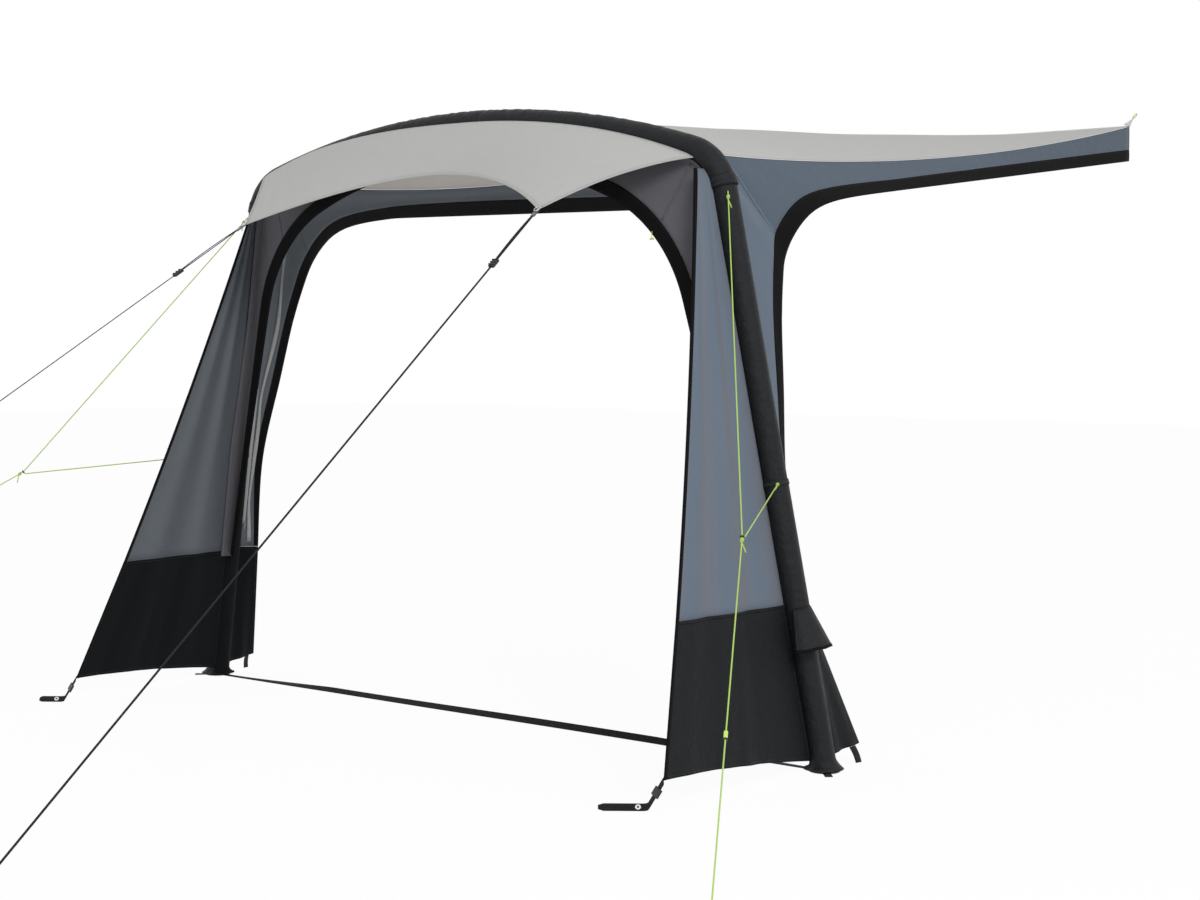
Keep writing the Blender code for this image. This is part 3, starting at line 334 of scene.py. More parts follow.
# %% Run the lines
VISOR_CORNER, STORM_STRAP_END = Vector((0.688, -0.527, 1.786)), Vector((1.160, -3.156, 0.006))
STORM_STRAP_WIDTH, STORM_STRAP_THICKNESS = 0.007, 0.0014
STORM_CLIP_LENGTH, STORM_BUCKLE_SHARE = 0.042, 0.090
GUY_TOP_HEIGHT, GUY_BRANCH_HEIGHT, GUY_TOP_ANGLE = 1.850, 0.915, radians(-45)
GUY_RING, GUY_END = Vector((1.654, -0.791, 0.841)), Vector((2.428, -2.082, 0.004))
GUY_RING_LIFT, GUY_RADIUS, RING_WIRE, TUBE_SIDES = 0.020, 0.002, 0.0025, 12


def guy_seat(height, meet, side):
    """Where a guy line that runs to a point leaves the leg."""
    run = BEAM.run_at(height)
    centre = sided(on_beam(run, 0.0, 0.0), side)
    normal = (sided(on_beam(run, GUY_TOP_ANGLE, 1.0), side) - centre).normalized()
    slant = (meet - centre).normalized().cross(normal).length
    return centre + normal * (OUTER_SLEEVE * cos(pi / TUBE_SIDES) + CLEARANCE + GUY_RADIUS * slant)


def guy_route(side):
    """The line's top, its ring and its ground end, and the two ends of its branch."""
    meet, end = sided(GUY_RING, side), sided(GUY_END, side)
    meet.z -= side * GUY_RING_LIFT
    top, low = guy_seat(GUY_TOP_HEIGHT, meet, side), guy_seat(GUY_BRANCH_HEIGHT, meet, side)
    along, toward = (end - top).normalized(), (low - meet).normalized()
    out_of_ring = (toward - along * toward.dot(along)).normalized()
    slant = toward.cross(out_of_ring).length
    reach = GUY_RADIUS + 2 * CLEARANCE + RING_WIRE + RING_WIRE + CLEARANCE + GUY_RADIUS * slant
    return top, meet, end, meet + out_of_ring * reach, low


def storm_route(side):
    """The corner of the visor and the two ends of the strap below its clip."""
    corner, end = sided(VISOR_CORNER, side), sided(STORM_STRAP_END, side)
    return corner, corner + (end - corner).normalized() * (STORM_CLIP_LENGTH + 2 * CLEARANCE), end


def new_piece(name, mesh, body="awning", finish=None):
    """A piece that rides on one of the awning's bodies, or on none yet where it is to be blended."""
    piece = add_object(name, mesh)
    if body:
        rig.ride(piece, body)
    if finish:
        mesh.materials.append(finish)
    return piece


def cord_curve(name, points, radius, finish=None, cyclic=False, resolution=3):
    curve = bpy.data.curves.new(name, "CURVE")
    curve.dimensions, curve.use_fill_caps = "3D", True
    curve.bevel_depth, curve.bevel_resolution = radius, resolution
    spline = curve.splines.new("POLY")
    spline.points.add(len(points) - 1)
    spline.use_cyclic_u = cyclic
    for spot, point in zip(spline.points, points):
        spot.co = (*point, 1.0)
    drawn = add_object(name + "_line", curve)
    mesh = bpy.data.meshes.new_from_object(drawn.evaluated_get(bpy.context.evaluated_depsgraph_get()))
    mesh.name = name
    bpy.data.objects.remove(drawn)
    bpy.data.curves.remove(curve)
    mesh.shade_smooth()
    return new_piece(name, mesh, finish=finish)


def heading(points, index):
    """The way a line of points runs at one of them."""
    return points[min(index + 1, len(points) - 1)] - points[max(index - 1, 0)]


def strap_band(name, centres, across, body="awning", finish=None):
    """A storm strap's flat band: a rectangle at each point, joined into one closed strip."""
    mesh, made, rings = bpy.data.meshes.new(name), bmesh.new(), []
    for index, centre in enumerate(centres):
        wide = across * STORM_STRAP_WIDTH / 2
        deep = heading(centres, index).cross(across).normalized() * STORM_STRAP_THICKNESS / 2
        verts = [made.verts.new(centre + wide * u + deep * v) for u, v in ((-1, -1), (1, -1), (1, 1), (-1, 1))]
        rings.append([made.edges.new((verts[i], verts[(i + 1) % 4])) for i in range(4)])
    for first, second in zip(rings, rings[1:]):
        bmesh.ops.bridge_loops(made, edges=first + second)
    for end in (rings[0], rings[-1]):
        bmesh.ops.contextual_create(made, geom=end)
    bmesh.ops.recalc_face_normals(made, faces=made.faces)
    flat = made.loops.layers.uv.new("cloth")
    along = (centres[-1] - centres[0]).normalized()
    for face in made.faces:
        for loop in face.loops:
            offset = loop.vert.co - centres[0]
            loop[flat].uv = (offset.dot(across) + STORM_STRAP_WIDTH / 2, offset.dot(along))
    made.to_mesh(mesh)
    made.free()
    return new_piece(name, mesh, body, finish)


lines = {}
for side in SIDES:
    top, meet, end, branch_start, low = guy_route(side)
    _, strap_top, strap_end = storm_route(side)
    flat = (strap_end - strap_top).cross(UP).normalized()
    for name, route in (
        ("guy_line_cord", steps(top, meet, 8) + steps(meet, end, 8)[1:]),
        ("guy_branch_cord", steps(branch_start, low, 8)),
        ("storm_strap_band", steps(strap_top, strap_end, 24)),
    ):
        if "guy" in name:
            line, width = cord_curve(hand(name, side), route, GUY_RADIUS), 2 * GUY_RADIUS
        else:
            line, width = strap_band(hand(name, side), route, flat), STORM_STRAP_WIDTH
        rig.replaces(line, hand(name.rsplit("_", 1)[0], side))
        lines[name, side] = line, route, width
print("lines:", [line.name for line, _, _ in lines.values()])

# %% [markdown]
# A finish is a material made of nodes. Its maths reads like maths: a Term wraps one node's output, and +, -, * and
# the comparisons on it add Math nodes. Every other node comes from the one method node().

# %% Write shader maths as expressions
MIX_SHARE, MIX_FIRST, MIX_SECOND, MIX_COLOUR = 0, 6, 7, 2


class Term:
    """One output of a node in a finish."""

    def __init__(self, finish, socket):
        self.finish, self.socket = finish, socket

    def do(self, operation, *others):
        return self.finish.node("ShaderNodeMath", {"operation": operation}, dict(enumerate((self, *others))))

    def __add__(self, other):
        return self.do("ADD", other)

    def __sub__(self, other):
        return self.do("SUBTRACT", other)

    def __mul__(self, other):
        return self.do("MULTIPLY", other)

    def __lt__(self, other):
        return self.do("LESS_THAN", other)

    def __gt__(self, other):
        return self.do("GREATER_THAN", other)

    def __abs__(self):
        return self.do("ABSOLUTE")

    __radd__ = __add__

    def wave(self, length):
        """A sine that repeats every length, in metres."""
        return (self * (TURN / length)).do("SINE")


class Finish:
    """A Principled material whose nodes are added one expression at a time."""

    def __init__(self, name, **constants):
        self.material = bpy.data.materials.new(name)
        self.material.use_nodes = True
        self.tree = self.material.node_tree
        self.shader = self.tree.nodes["Principled BSDF"]
        self.show(**constants)

    def node(self, kind, settings=None, values=None, output=0):
        made = self.tree.nodes.new(kind)
        for setting, value in (settings or {}).items():
            setattr(made, setting, value)
        for socket, value in (values or {}).items():
            self.feed(made.inputs[socket], value)
        return Term(self, made.outputs[output])

    def feed(self, socket, value):
        if isinstance(value, Term):
            self.tree.links.new(value.socket, socket)
        else:
            socket.default_value = value

    def solid(self):
        return self.node("ShaderNodeTexCoord", output="Object")

    def parts(self, vector):
        """The three numbers of a vector."""
        split = self.node("ShaderNodeSeparateXYZ", values={"Vector": vector})
        return [Term(self, output) for output in split.socket.node.outputs]

    def mix(self, share, first, second):
        first, second = ((*value, 1.0) if isinstance(value, tuple) else value for value in (first, second))
        values = {MIX_SHARE: share, MIX_FIRST: first, MIX_SECOND: second}
        return self.node("ShaderNodeMix", {"data_type": "RGBA"}, values, output=MIX_COLOUR)

    def noise(self, where, scale, detail=3.0, roughness=0.5):
        values = {"Vector": where, "Scale": scale, "Detail": detail, "Roughness": roughness}
        return self.node("ShaderNodeTexNoise", values=values)

    def bump(self, height, distance, strength=1.0, **under):
        values = {"Height": height, "Distance": distance, "Strength": strength, **under}
        return self.node("ShaderNodeBump", values=values)

    def show(self, **sockets):
        for socket, value in sockets.items():
            self.feed(self.shader.inputs[socket.replace("_", " ")], value)
        return self.material


def tint(colour, share):
    return tuple(value * share for value in colour)


# %% [markdown]
# Awning cloth is a tight polyester weave. Up close the threads cross every millimetre; from a step away the cloth has
# a soft sheen, faint cloudy shading and a line of stitches inside each hem. The weave reads the piece's own UV map,
# which is laid out in metres, and the stitches read an attribute that holds the distance to the nearest hem.

# %% Woven finishes
STITCH, STITCH_LINE, FOLD_PAST_SEAM = 0.0042, 0.0007, 0.004


def woven(
    name, colour, thread=0.0009, roughness=0.82, sheen=0.25, gloss=0.3, stitch=0.55, clouds=0.10, seam=0.008,
    bands=None, creases=1.0,
):
    finish = Finish(name, Sheen_Weight=sheen, Sheen_Roughness=0.4, Specular_IOR_Level=gloss)
    flat, solid = finish.node("ShaderNodeUVMap", {"uv_map": "cloth"}), finish.solid()
    across, along, _ = finish.parts(flat)
    hem = finish.node("ShaderNodeAttribute", {"attribute_name": "hem"}, output="Fac")
    weave = across.wave(thread) * along.wave(thread)
    slub = finish.noise(flat, 420.0, 2.0)
    cloud = finish.noise(solid, 3.2, 4.0, 0.55)
    worn = finish.noise(solid, 26.0, 4.0, 0.6)
    stitches = (abs(hem - seam) < STITCH_LINE) * ((across + along).wave(STITCH) > -0.35)
    folded = hem < seam + FOLD_PAST_SEAM
    base = finish.mix(cloud, tint(colour, 1 - clouds), tint(colour, 1 + clouds))
    if bands:
        width, other = bands
        base = finish.mix((across + worn * 0.02).wave(width) * 0.5 + 0.5, base, other)
    base = finish.mix(worn * 0.35, base, tint(colour, 1.10))
    base = finish.mix((weave * 0.5 + 0.5) * 0.16 + slub * 0.10, base, tint(colour, 0.72))
    base = finish.mix(folded * 0.16, base, tint(colour, 0.70))
    base = finish.mix(stitches * stitch, base, tuple(value * 0.5 + 0.22 for value in colour))
    crease = finish.bump(worn + cloud * 2.0, 0.0016 * creases, min(1.0, 0.35 * creases))
    raised = finish.bump(folded + stitches * 0.8, 0.0006, 0.8, Normal=crease)
    normal = finish.bump(weave + slub * 0.8, 0.00012, 0.7, Normal=raised)
    return finish.show(Base_Color=base, Roughness=roughness + slub * 0.12 - 0.06, Normal=normal)


PANEL_GREY, PANEL_FOLD_LIGHT = (0.118, 0.153, 0.200), (0.150, 0.158, 0.185)
FASCIA_SHADED_GREY, LINING_GREY = (0.105, 0.104, 0.116), (0.128, 0.142, 0.160)
ROOF_GREY, ROOF_LINING = (0.47, 0.465, 0.452), (0.56, 0.52, 0.49)
SLEEVE_BLACK, SKIRT_BLACK, TRIM_BLACK = (0.010, 0.011, 0.013), (0.009, 0.011, 0.014), (0.004, 0.004, 0.0045)
panel_cloth = woven("panel_cloth", tint(PANEL_GREY, 0.94), sheen=0.12, clouds=0.08, creases=2.5)
# The wing's warm stripes are painted light and shade of fine upright folds.
wing_cloth_outside = woven(
    "wing_cloth_outside", PANEL_GREY, sheen=0.12, clouds=0.07, bands=(0.085, PANEL_FOLD_LIGHT), creases=1.5,
)
# The head of each side wall is the panel grey darkened: painted shade under the roof's edge.
head_cloth_painted_shade = woven("head_cloth_painted_shade", tint(PANEL_GREY, 0.71), sheen=0.10, clouds=0.08, creases=3.0)
# The fascia's dark grey is painted shade: the shadow that the visor casts on it.
fascia_cloth = woven("fascia_cloth", FASCIA_SHADED_GREY, sheen=0.08, gloss=0.2, clouds=0.10, creases=1.8)
panel_lining = woven(
    "panel_lining", LINING_GREY, sheen=0.06, gloss=0.15, clouds=0.12, bands=(0.13, tint(LINING_GREY, 0.74)),
    creases=1.5,
)
roof_cloth = woven("roof_cloth", ROOF_GREY, sheen=0.10, stitch=0.25, clouds=0.03, creases=2.0)
roof_lining = woven("roof_lining", ROOF_LINING, sheen=0.10, stitch=0.25, clouds=0.03)
sleeve_cloth = woven(
    "sleeve_cloth", tint(SLEEVE_BLACK, 0.75), thread=0.0011, roughness=0.50, sheen=0.02, gloss=0.20, stitch=0.15,
    clouds=0.30, creases=4.5,
)
skirt_cloth = woven(
    "skirt_cloth", tint(SKIRT_BLACK, 0.68), thread=0.0011, roughness=0.60, sheen=0.03, gloss=0.16, stitch=0.12,
    clouds=0.30, creases=4.0,
)
# The skirts' inner faces are the skirt black darkened further: painted shade.
skirt_lining_painted_shade = woven("skirt_lining_painted_shade", tint(SKIRT_BLACK, 0.5), thread=0.0011, sheen=0.02, gloss=0.1, stitch=0.2)
trim_cloth = woven(
    "trim_cloth", TRIM_BLACK, thread=0.0008, roughness=0.75, sheen=0.015, gloss=0.07, stitch=0.08, seam=0.006,
)
white_cloth = woven("white_cloth", (0.80, 0.80, 0.785), sheen=0.1, stitch=0.2, clouds=0.03, seam=0.005)
print("woven finishes:", len(bpy.data.materials))

# %% [markdown]
# Webbing is woven much thicker: ribs run across the band, and a herringbone zigzag runs along it. Zip tape is the same
# weave, finer and light grey. A guy line is braided, so its strands cross as two slanting waves.

# %% Ribbed and braided finishes


def ribbed(name, colour, rib=0.0024, roughness=0.66, relief=0.0003, width=0.025, edge=0.5):
    finish = Finish(name, Sheen_Weight=0.05, Sheen_Roughness=0.5, Specular_IOR_Level=0.2)
    flat = finish.node("ShaderNodeUVMap", {"uv_map": "cloth"})
    across, along, _ = finish.parts(flat)
    ribs = (along + abs(across.wave(width / 2)) * (rib * 1.5)).wave(rib)
    threads = across.wave(rib * 0.42)
    grime = finish.noise(flat, 60.0, 4.0, 0.6)
    base = finish.mix(ribs * 0.5 + 0.5, tint(colour, 0.62), tint(colour, 1.30))
    base = finish.mix(grime * 0.3, base, tint(colour, edge))
    normal = finish.bump(ribs + threads * 0.4 + grime * 0.4, relief, 0.9)
    return finish.show(Base_Color=base, Roughness=roughness + grime * 0.16 - 0.08, Normal=normal)


def braided(name, colour, strand=0.0016):
    finish = Finish(name, Sheen_Weight=0.15, Sheen_Roughness=0.4)
    solid = finish.solid()
    wide, deep, high = finish.parts(solid)
    strands = (wide + deep * 0.8 + high).wave(strand * 1.7) * (wide - deep * 0.8 - high).wave(strand * 1.3)
    tone = finish.noise(solid, 180.0)
    base = finish.mix(strands * 0.5 + 0.5, tint(colour, 0.62), tint(colour, 1.12))
    base = finish.mix(tone * 0.3, base, tint(colour, 0.8))
    return finish.show(Base_Color=base, Roughness=0.5 + tone * 0.1, Normal=finish.bump(strands, 0.0003, 0.8))


LIME, BLACK = (0.50, 0.74, 0.12), (0.008, 0.008, 0.009)
webbing = ribbed("webbing", BLACK)
narrow_webbing = ribbed(
    "narrow_webbing", (0.002, 0.002, 0.0022), rib=0.0018, roughness=0.8, relief=0.0001, width=STORM_STRAP_WIDTH,
)
zip_tape_weave = ribbed("zip_tape_weave", (0.40, 0.41, 0.41), rib=0.0012, relief=0.00015, width=0.006, edge=0.85)
lime_braid, black_braid = braided("lime_braid", LIME), braided("black_braid", BLACK)
for (name, _), (line, _, _) in lines.items():
    line.data.materials.append(narrow_webbing if name == "storm_strap_band" else lime_braid)
print("finishes so far:", len(bpy.data.materials))

# %% [markdown]
# Moulded plastic has a fine spark-eroded grain and shinier rubbed spots. Zinc and steel get faint brushing and a
# slightly uneven polish. The bladder is smooth welded film. None of these has a flat layout, so they read Object
# coordinates, which stay put because every piece sits at the origin.

# %% Moulded, metal and film finishes


def moulded(name, colour, roughness=0.42, grain=1400.0):
    finish = Finish(name, Specular_IOR_Level=0.45)
    solid = finish.solid()
    grains, rubbed = finish.noise(solid, grain, 2.0, 0.6), finish.noise(solid, 45.0, 4.0, 0.6)
    base = finish.mix(rubbed, tint(colour, 0.85), tuple(value * 1.15 + 0.004 for value in colour))
    base = finish.mix(grains * 0.2, base, tint(colour, 0.7))
    worn = roughness + rubbed * 0.22 - 0.11 + grains * 0.08
    return finish.show(Base_Color=base, Roughness=worn, Normal=finish.bump(grains, 0.00008, 0.6))


def metal(name, colour, roughness=0.28):
    finish = Finish(name, Metallic=1.0)
    solid = finish.solid()
    drawn = finish.node("ShaderNodeMapping", values={"Vector": solid, "Scale": (180.0, 180.0, 2600.0)})
    brushing, smudge = finish.noise(drawn, 1.0), finish.noise(solid, 90.0)
    base = finish.mix(smudge, tint(colour, 0.88), tint(colour, 1.05))
    normal = finish.bump(brushing, 0.00004, 0.5)
    return finish.show(Base_Color=base, Roughness=roughness + smudge * 0.18 - 0.07, Normal=normal)


black_plastic = moulded("black_plastic", (0.014, 0.014, 0.015))
lime_plastic = moulded("lime_plastic", LIME, roughness=0.36)
white_plastic = moulded("white_plastic", (0.78, 0.78, 0.76), roughness=0.40)
steel, dark_metal = metal("steel", (0.62, 0.62, 0.61)), metal("dark_metal", (0.20, 0.20, 0.205), roughness=0.34)
bladder_film = moulded("bladder_film", (0.55, 0.57, 0.57), roughness=0.30, grain=300.0)
print("finishes:", len(bpy.data.materials))

# %% [markdown]
# All the cloth is made one way. bmesh makes a flat grid, a small function carries each of its points onto the real
# surface, and a Solidify modifier gives the sheet its thickness. The grid also keeps what a tailor would know: the UV
# map is the flat cloth in metres, and each point knows how far it is from the nearest hem.

# %% Sew a sheet
TAPE_WALL, SEAM_WALL, SEAM_RIDGE, BINDING_GAP = 0.0008, 0.0007, 0.0013, 0.0014
BINDING_FOLD = [(1.0, 1.0), (0.5, 1.15), (0.0, 1.0), (-0.12, 0.0), (0.0, -1.0), (0.5, -1.15), (1.0, -1.0)]
LEAST_CUT, LEAST_FILL = 0.0101, 0.31
CUTS = {}


def running(points):
    """The distance along a list of points, from its first."""
    lengths = [0.0]
    for first, second in zip(points, points[1:]):
        lengths.append(lengths[-1] + (second - first).length)
    return lengths


def cloth(
    name, surface, columns, rows, finish, thickness=0.0016, wrap=False, hems="", body="awning", lining=None,
    inwards=None, second=None,
):
    """A sheet whose points are surface(column, row). second is a test of a place and the finish it has there."""
    mesh, grid = bpy.data.meshes.new(name), bmesh.new()
    across, along = len(columns) - 1, len(rows) - 1
    hem, flat = grid.verts.layers.float.new("hem"), grid.loops.layers.uv.new("cloth")
    bmesh.ops.create_grid(grid, x_segments=across, y_segments=along, size=0.5)
    where = {vert: (round((vert.co.x + 0.5) * across), round((vert.co.y + 0.5) * along)) for vert in grid.verts}
    points = [[surface(column, row) for column in columns] for row in rows]
    widths, lengths = [running(row) for row in points], [running(column) for column in zip(*points)]
    for vert, (i, j) in where.items():
        vert.co = points[j][i]
        wide, long = widths[j], lengths[i]
        to_edges = {"l": wide[i], "r": wide[-1] - wide[i], "b": long[j], "t": long[-1] - long[j]}
        vert[hem] = min([to_edges[edge] for edge in hems] + [1.0])
    for face in grid.faces:
        face.smooth = True
        for loop in face.loops:
            i, j = where[loop.vert]
            loop[flat].uv = (widths[along // 2][i], lengths[across // 2][j])
        i, j = (min(where[vert][axis] for vert in face.verts) for axis in (0, 1))
        if second and second[0](columns[i], rows[j]):
            face.material_index = 2 if lining else 1
    grid.normal_update()
    area = sum(face.calc_area() for face in grid.faces)
    CUTS[name] = max(row[-1] for row in widths), max(column[-1] for column in lengths), area
    if wrap:
        bmesh.ops.remove_doubles(grid, verts=grid.verts, dist=1e-5)
    front = sum((face.normal * face.calc_area() for face in grid.faces), Vector())
    grid.to_mesh(mesh)
    grid.free()
    piece = new_piece(name, mesh, body)
    wall = piece.modifiers.new("Thickness", "SOLIDIFY")
    wall.thickness, wall.offset, wall.material_offset = thickness, 0.0, 1 if lining else 0
    for outside in (finish, second[1]) if second else (finish,):
        pair = (outside, lining) if lining else (outside,)
        for slot in reversed(pair) if lining and front.dot(inwards) > 0 else pair:
            mesh.materials.append(slot)
    return piece


def sew(name, surface, columns, rows, finish, held, rests_on, side=0, ending="_cloth", pieces=(), **cut):
    """A declared sheet. A side mirrors it, and with an ending to its name it stands for the CAD solid of that name."""
    node = hand(name, side) if side else name
    placed = mirrored(surface, side) if side else surface
    inwards = -RIGHT * side if side else -UP
    piece = cloth(node + ending, placed, columns, rows, finish, inwards=inwards, **cut)
    width, length, area = CUTS[piece.name]
    width, length = max(width, LEAST_CUT), max(length, LEAST_CUT)
    if area < LEAST_FILL * width * length:
        width = area / ((LEAST_FILL + 0.01) * length)
    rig.sheet(
        piece, flat=(round(width, 3), round(length, 3)), area=round(min(area, width * length * 0.999), 4), held=held,
        rests_on=rests_on, with_pieces=list(pieces),
    )
    if ending:
        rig.replaces(piece, node)
    print(piece.name, "cut", round(width, 3), "x", round(length, 3), "m")
    return piece


def mirrored(surface, side):
    return lambda column, row: sided(surface(column, row), side)


def binding(name, edges, insides, width, finish, body="awning"):
    """A tape folded over an edge, from one face of the cloth round to the other."""

    def fold_over(column, index):
        inward = (insides[index] - edges[index]).normalized()
        facing = heading(edges, index).cross(inward).normalized()
        return edges[index] + inward * (width * column[0]) + facing * (BINDING_GAP * column[1])

    return cloth(name, fold_over, BINDING_FOLD, range(len(edges)), finish, TAPE_WALL, hems="lr", body=body)


def facing_of(surface, column, row, toward, small=1e-3):
    """The surface's unit normal at a place, on the side of a direction."""
    here = surface(column, row)
    normal = (surface(column + small, row) - here).cross(surface(column, row + small) - here).normalized()
    return normal if normal.dot(toward) > 0 else -normal


def seam(name, surface, places, toward, width, finish, lift=0.0010, inside=0.0):
    """A flat seam through places of a surface, a little off the face that looks toward a direction."""
    facings = [facing_of(surface, column, row - inside, toward) for column, row in places]
    points = [surface(*spot) + facing * lift for spot, facing in zip(places, facings)]

    def tape(share, index):
        across = heading(points, index).cross(facings[index]).normalized()
        return points[index] + across * (width * share) + facings[index] * (SEAM_RIDGE * (1 - abs(share)))

    return cloth(name, tape, (-0.5, -0.2, 0.2, 0.5), range(len(points)), finish, SEAM_WALL, hems="lr")


def crumple(point, size, amount, seed=0.0):
    """Soft, uneven creasing: a number between -amount and amount that varies over a size in metres."""
    return noise.noise(point / size + Vector((seed, seed * 0.7, -seed))) * amount


# %% [markdown]
# The bladder is one welded tube that fills tight, so it is smooth and round. The sleeves over it are stiff black
# polyester: round tubes too, but they pucker on the inside of the tight shoulders and wrinkle a little along the
# crown. The lower leg sleeve laps over the upper one and spreads to a boot on the ground.

# %% Blow up the beam and pull on its sleeves
TUBE_ANGLES = steps(0, TURN, 32)
SLEEVE_STEP_HEIGHT, SLEEVE_LAP = 0.925, 0.05
BOOT_HEIGHT, BOOT_FLARE, BOOT_HEM = 0.036, 0.024, 0.0085
BOOT_FLUTE, BOOT_FLUTES, BOOT_SLACK, BOOT_SLACK_SIZE = 0.0011, 13, 0.0004, 0.03
FOOT_PAD_THICKNESS, BLADDER_WALL = 0.006, 0.0012
TUBE_FOOT = FOOT_PAD_THICKNESS + CLEARANCE + OUTER_SLEEVE * sin(LEG_TILT) + 0.002
SHOULDER_RUN = between(BEAM.crown_run, BEAM.leg_run, 0.5)
CROWN_END = BEAM.leg_run - 0.020
PUCKER_DEPTH, PUCKER_LENGTH, SLEEVE_SLACK, SLEEVE_SLACK_SIZE = 0.0011, 0.021, 0.0003, 0.02
WRINKLE, WRINKLE_SIZE, WRINKLE_LOW, WRINKLE_HIGH = 0.0042, 0.045, -0.0018, 0.0009
BLADDER_ENDS = ((0.0, 0.0), (0.08, 0.30), (0.3, 0.62), (0.65, 0.88))


def window(value, middle, half_width):
    """1 at a middle value, falling smoothly to 0 at half a width to each side."""
    far = abs(value - middle) / half_width
    return cos(far * pi / 2) ** 2 if far < 1 else 0.0


def sleeve_surface(outside):
    radius = outside - SLEEVE_WALL / 2

    def surface(angle, run):
        shoulder = window(abs(run), SHOULDER_RUN, 0.22) * window(angle, pi, radians(50))
        puckered = radius + PUCKER_DEPTH * shoulder * (0.5 + 0.5 * sin(run * TURN / PUCKER_LENGTH))
        point = on_beam(run, angle, puckered)
        top = window(angle, 0.0, radians(80)) + window(angle, TURN, radians(80))
        across_beam = Vector((point.x * 2.4, point.y * 0.5, point.z * 0.5))
        crown = top * window(run, 0.15, 1.1) * crumple(across_beam, WRINKLE_SIZE, WRINKLE, 3.0)
        slack = crumple(Vector((point.x, point.y, point.z * 0.25)), SLEEVE_SLACK_SIZE, SLEEVE_SLACK, 8.0)
        return on_beam(run, angle, puckered + max(WRINKLE_LOW, min(crown, WRINKLE_HIGH)) + slack)

    return surface


def boot_surface(angle, run):
    """The lower leg sleeve, which spreads to a level hem in soft flutes just above the ground."""
    top, foot = BEAM.run_at(BOOT_HEIGHT), BEAM.run_at(TUBE_FOOT)
    spread = max(0.0, (abs(run) - top) / (foot - top))
    flute = BOOT_FLUTE * spread * sin(angle * BOOT_FLUTES)
    slack = crumple(on_beam(run, angle, OUTER_SLEEVE), BOOT_SLACK_SIZE, BOOT_SLACK, 5.0) * (1 - spread)
    point = on_beam(run, angle, OUTER_SLEEVE - SLEEVE_WALL / 2 + BOOT_FLARE * spread**2 + flute + slack)
    point.z = between(point.z, BOOT_HEM, spread**2)
    return point


def painted_shade_side(angle, run):
    """The side of the lower sleeves that faces the opening takes the darker skirt lining finish: painted shade."""
    return radians(105) < angle < radians(240)


def tube(name, surface, rows, rests_on, **cut):
    sew(
        name, surface, TUBE_ANGLES, rows, sleeve_cloth, "stretched", [rests_on], thickness=SLEEVE_WALL, wrap=True,
        hems="bt", **cut,
    )


def blow_up_beam():
    end, radius = BEAM.run_at(FOOT_PAD_THICKNESS + CLEARANCE + BLADDER_WALL / 2), BLADDER_RADIUS - BLADDER_WALL / 2
    rows = [(-end + share * BLADDER_RADIUS, size) for share, size in BLADDER_ENDS]
    rows += [(run, 1.0) for run in BEAM.stations(-end + BLADDER_RADIUS, end - BLADDER_RADIUS)]
    rows += [(end - share * BLADDER_RADIUS, size) for share, size in reversed(BLADDER_ENDS)]
    film = cloth(
        "air_beam_film", lambda angle, row: on_beam(row[0], angle, radius * row[1]), TUBE_ANGLES, rows,
        bladder_film, BLADDER_WALL, wrap=True,
    )
    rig.replaces(film, "air_beam")
    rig.padded(film, fill=1.0)


def cloth_of(node, side):
    return hand(node, side) + "_cloth"


blow_up_beam()
crown_rows = BEAM.stations(-CROWN_END, CROWN_END, crown_step=0.008, leg_step=0.012)
tube("sleeve_crown", sleeve_surface(OUTER_SLEEVE), crown_rows, "air_beam_film")
for side in SIDES:
    ends = sorted((side * (CROWN_END - 0.02), side * BEAM.run_at(SLEEVE_STEP_HEIGHT - SLEEVE_LAP)))
    tube(hand("sleeve_upper", side), sleeve_surface(INNER_SLEEVE), BEAM.stations(*ends), "air_beam_film")
    lower = BEAM.stations(BEAM.run_at(SLEEVE_STEP_HEIGHT), BEAM.run_at(BOOT_HEIGHT))
    lower += steps(BEAM.run_at(BOOT_HEIGHT), BEAM.run_at(TUBE_FOOT), 6)[1:]
    lower = sorted(side * run for run in lower)
    tube(hand("sleeve_lower", side), boot_surface, lower, "air_beam_film", second=(painted_shade_side, skirt_lining_painted_shade))

# %% [markdown]
# Each sleeve ends in a stitched cuff. At the shoulders the crown sleeve's cuff is a black flap that stands a little
# off the leg; it hides the join, and the guy line is knotted just below it.

# %% Sew the cuffs
CUFF_STAND, CUFF_HANG, CUFF_SLACK = 0.0016, 0.0012, 0.0008
FLAP_WIDTH, FLAP_RISE, CUFF_WIDTH, CUFF_RISE = 0.034, 0.022, 0.018, 0.001


def cuff(name, height, width, stand, side):
    """A band round the leg that stands off it and hangs slightly open at its lower edge."""

    def surface(angle, down):
        slack = CUFF_SLACK * down * sin(angle * 3 + 1.0)
        run = side * (BEAM.run_at(height) + width * down)
        return on_beam(run, angle, OUTER_SLEEVE + stand + CUFF_HANG * down + slack)

    tube(hand(name, side), surface, steps(0, 1, 4), cloth_of("sleeve_lower", side), ending="")


for side in SIDES:
    shoulder_height = (BEAM.foot_run - CROWN_END) * cos(LEG_TILT)
    cuff("shoulder_flap", shoulder_height + FLAP_RISE, FLAP_WIDTH, CUFF_STAND, side)
    cuff("leg_cuff", SLEEVE_STEP_HEIGHT + CUFF_RISE, CUFF_WIDTH, CUFF_STAND * 0.4, side)

# %% [markdown]
# The roof and the visor are the same light grey cloth. The roof is one curved sheet: level along the rail at the van,
# arched at the beam, and slack enough between them to sag. The visor is drawn forward to two corners by the storm
# straps, so its free edge is a deep curve with a hem, and faint ripples run from the corners into the cloth.

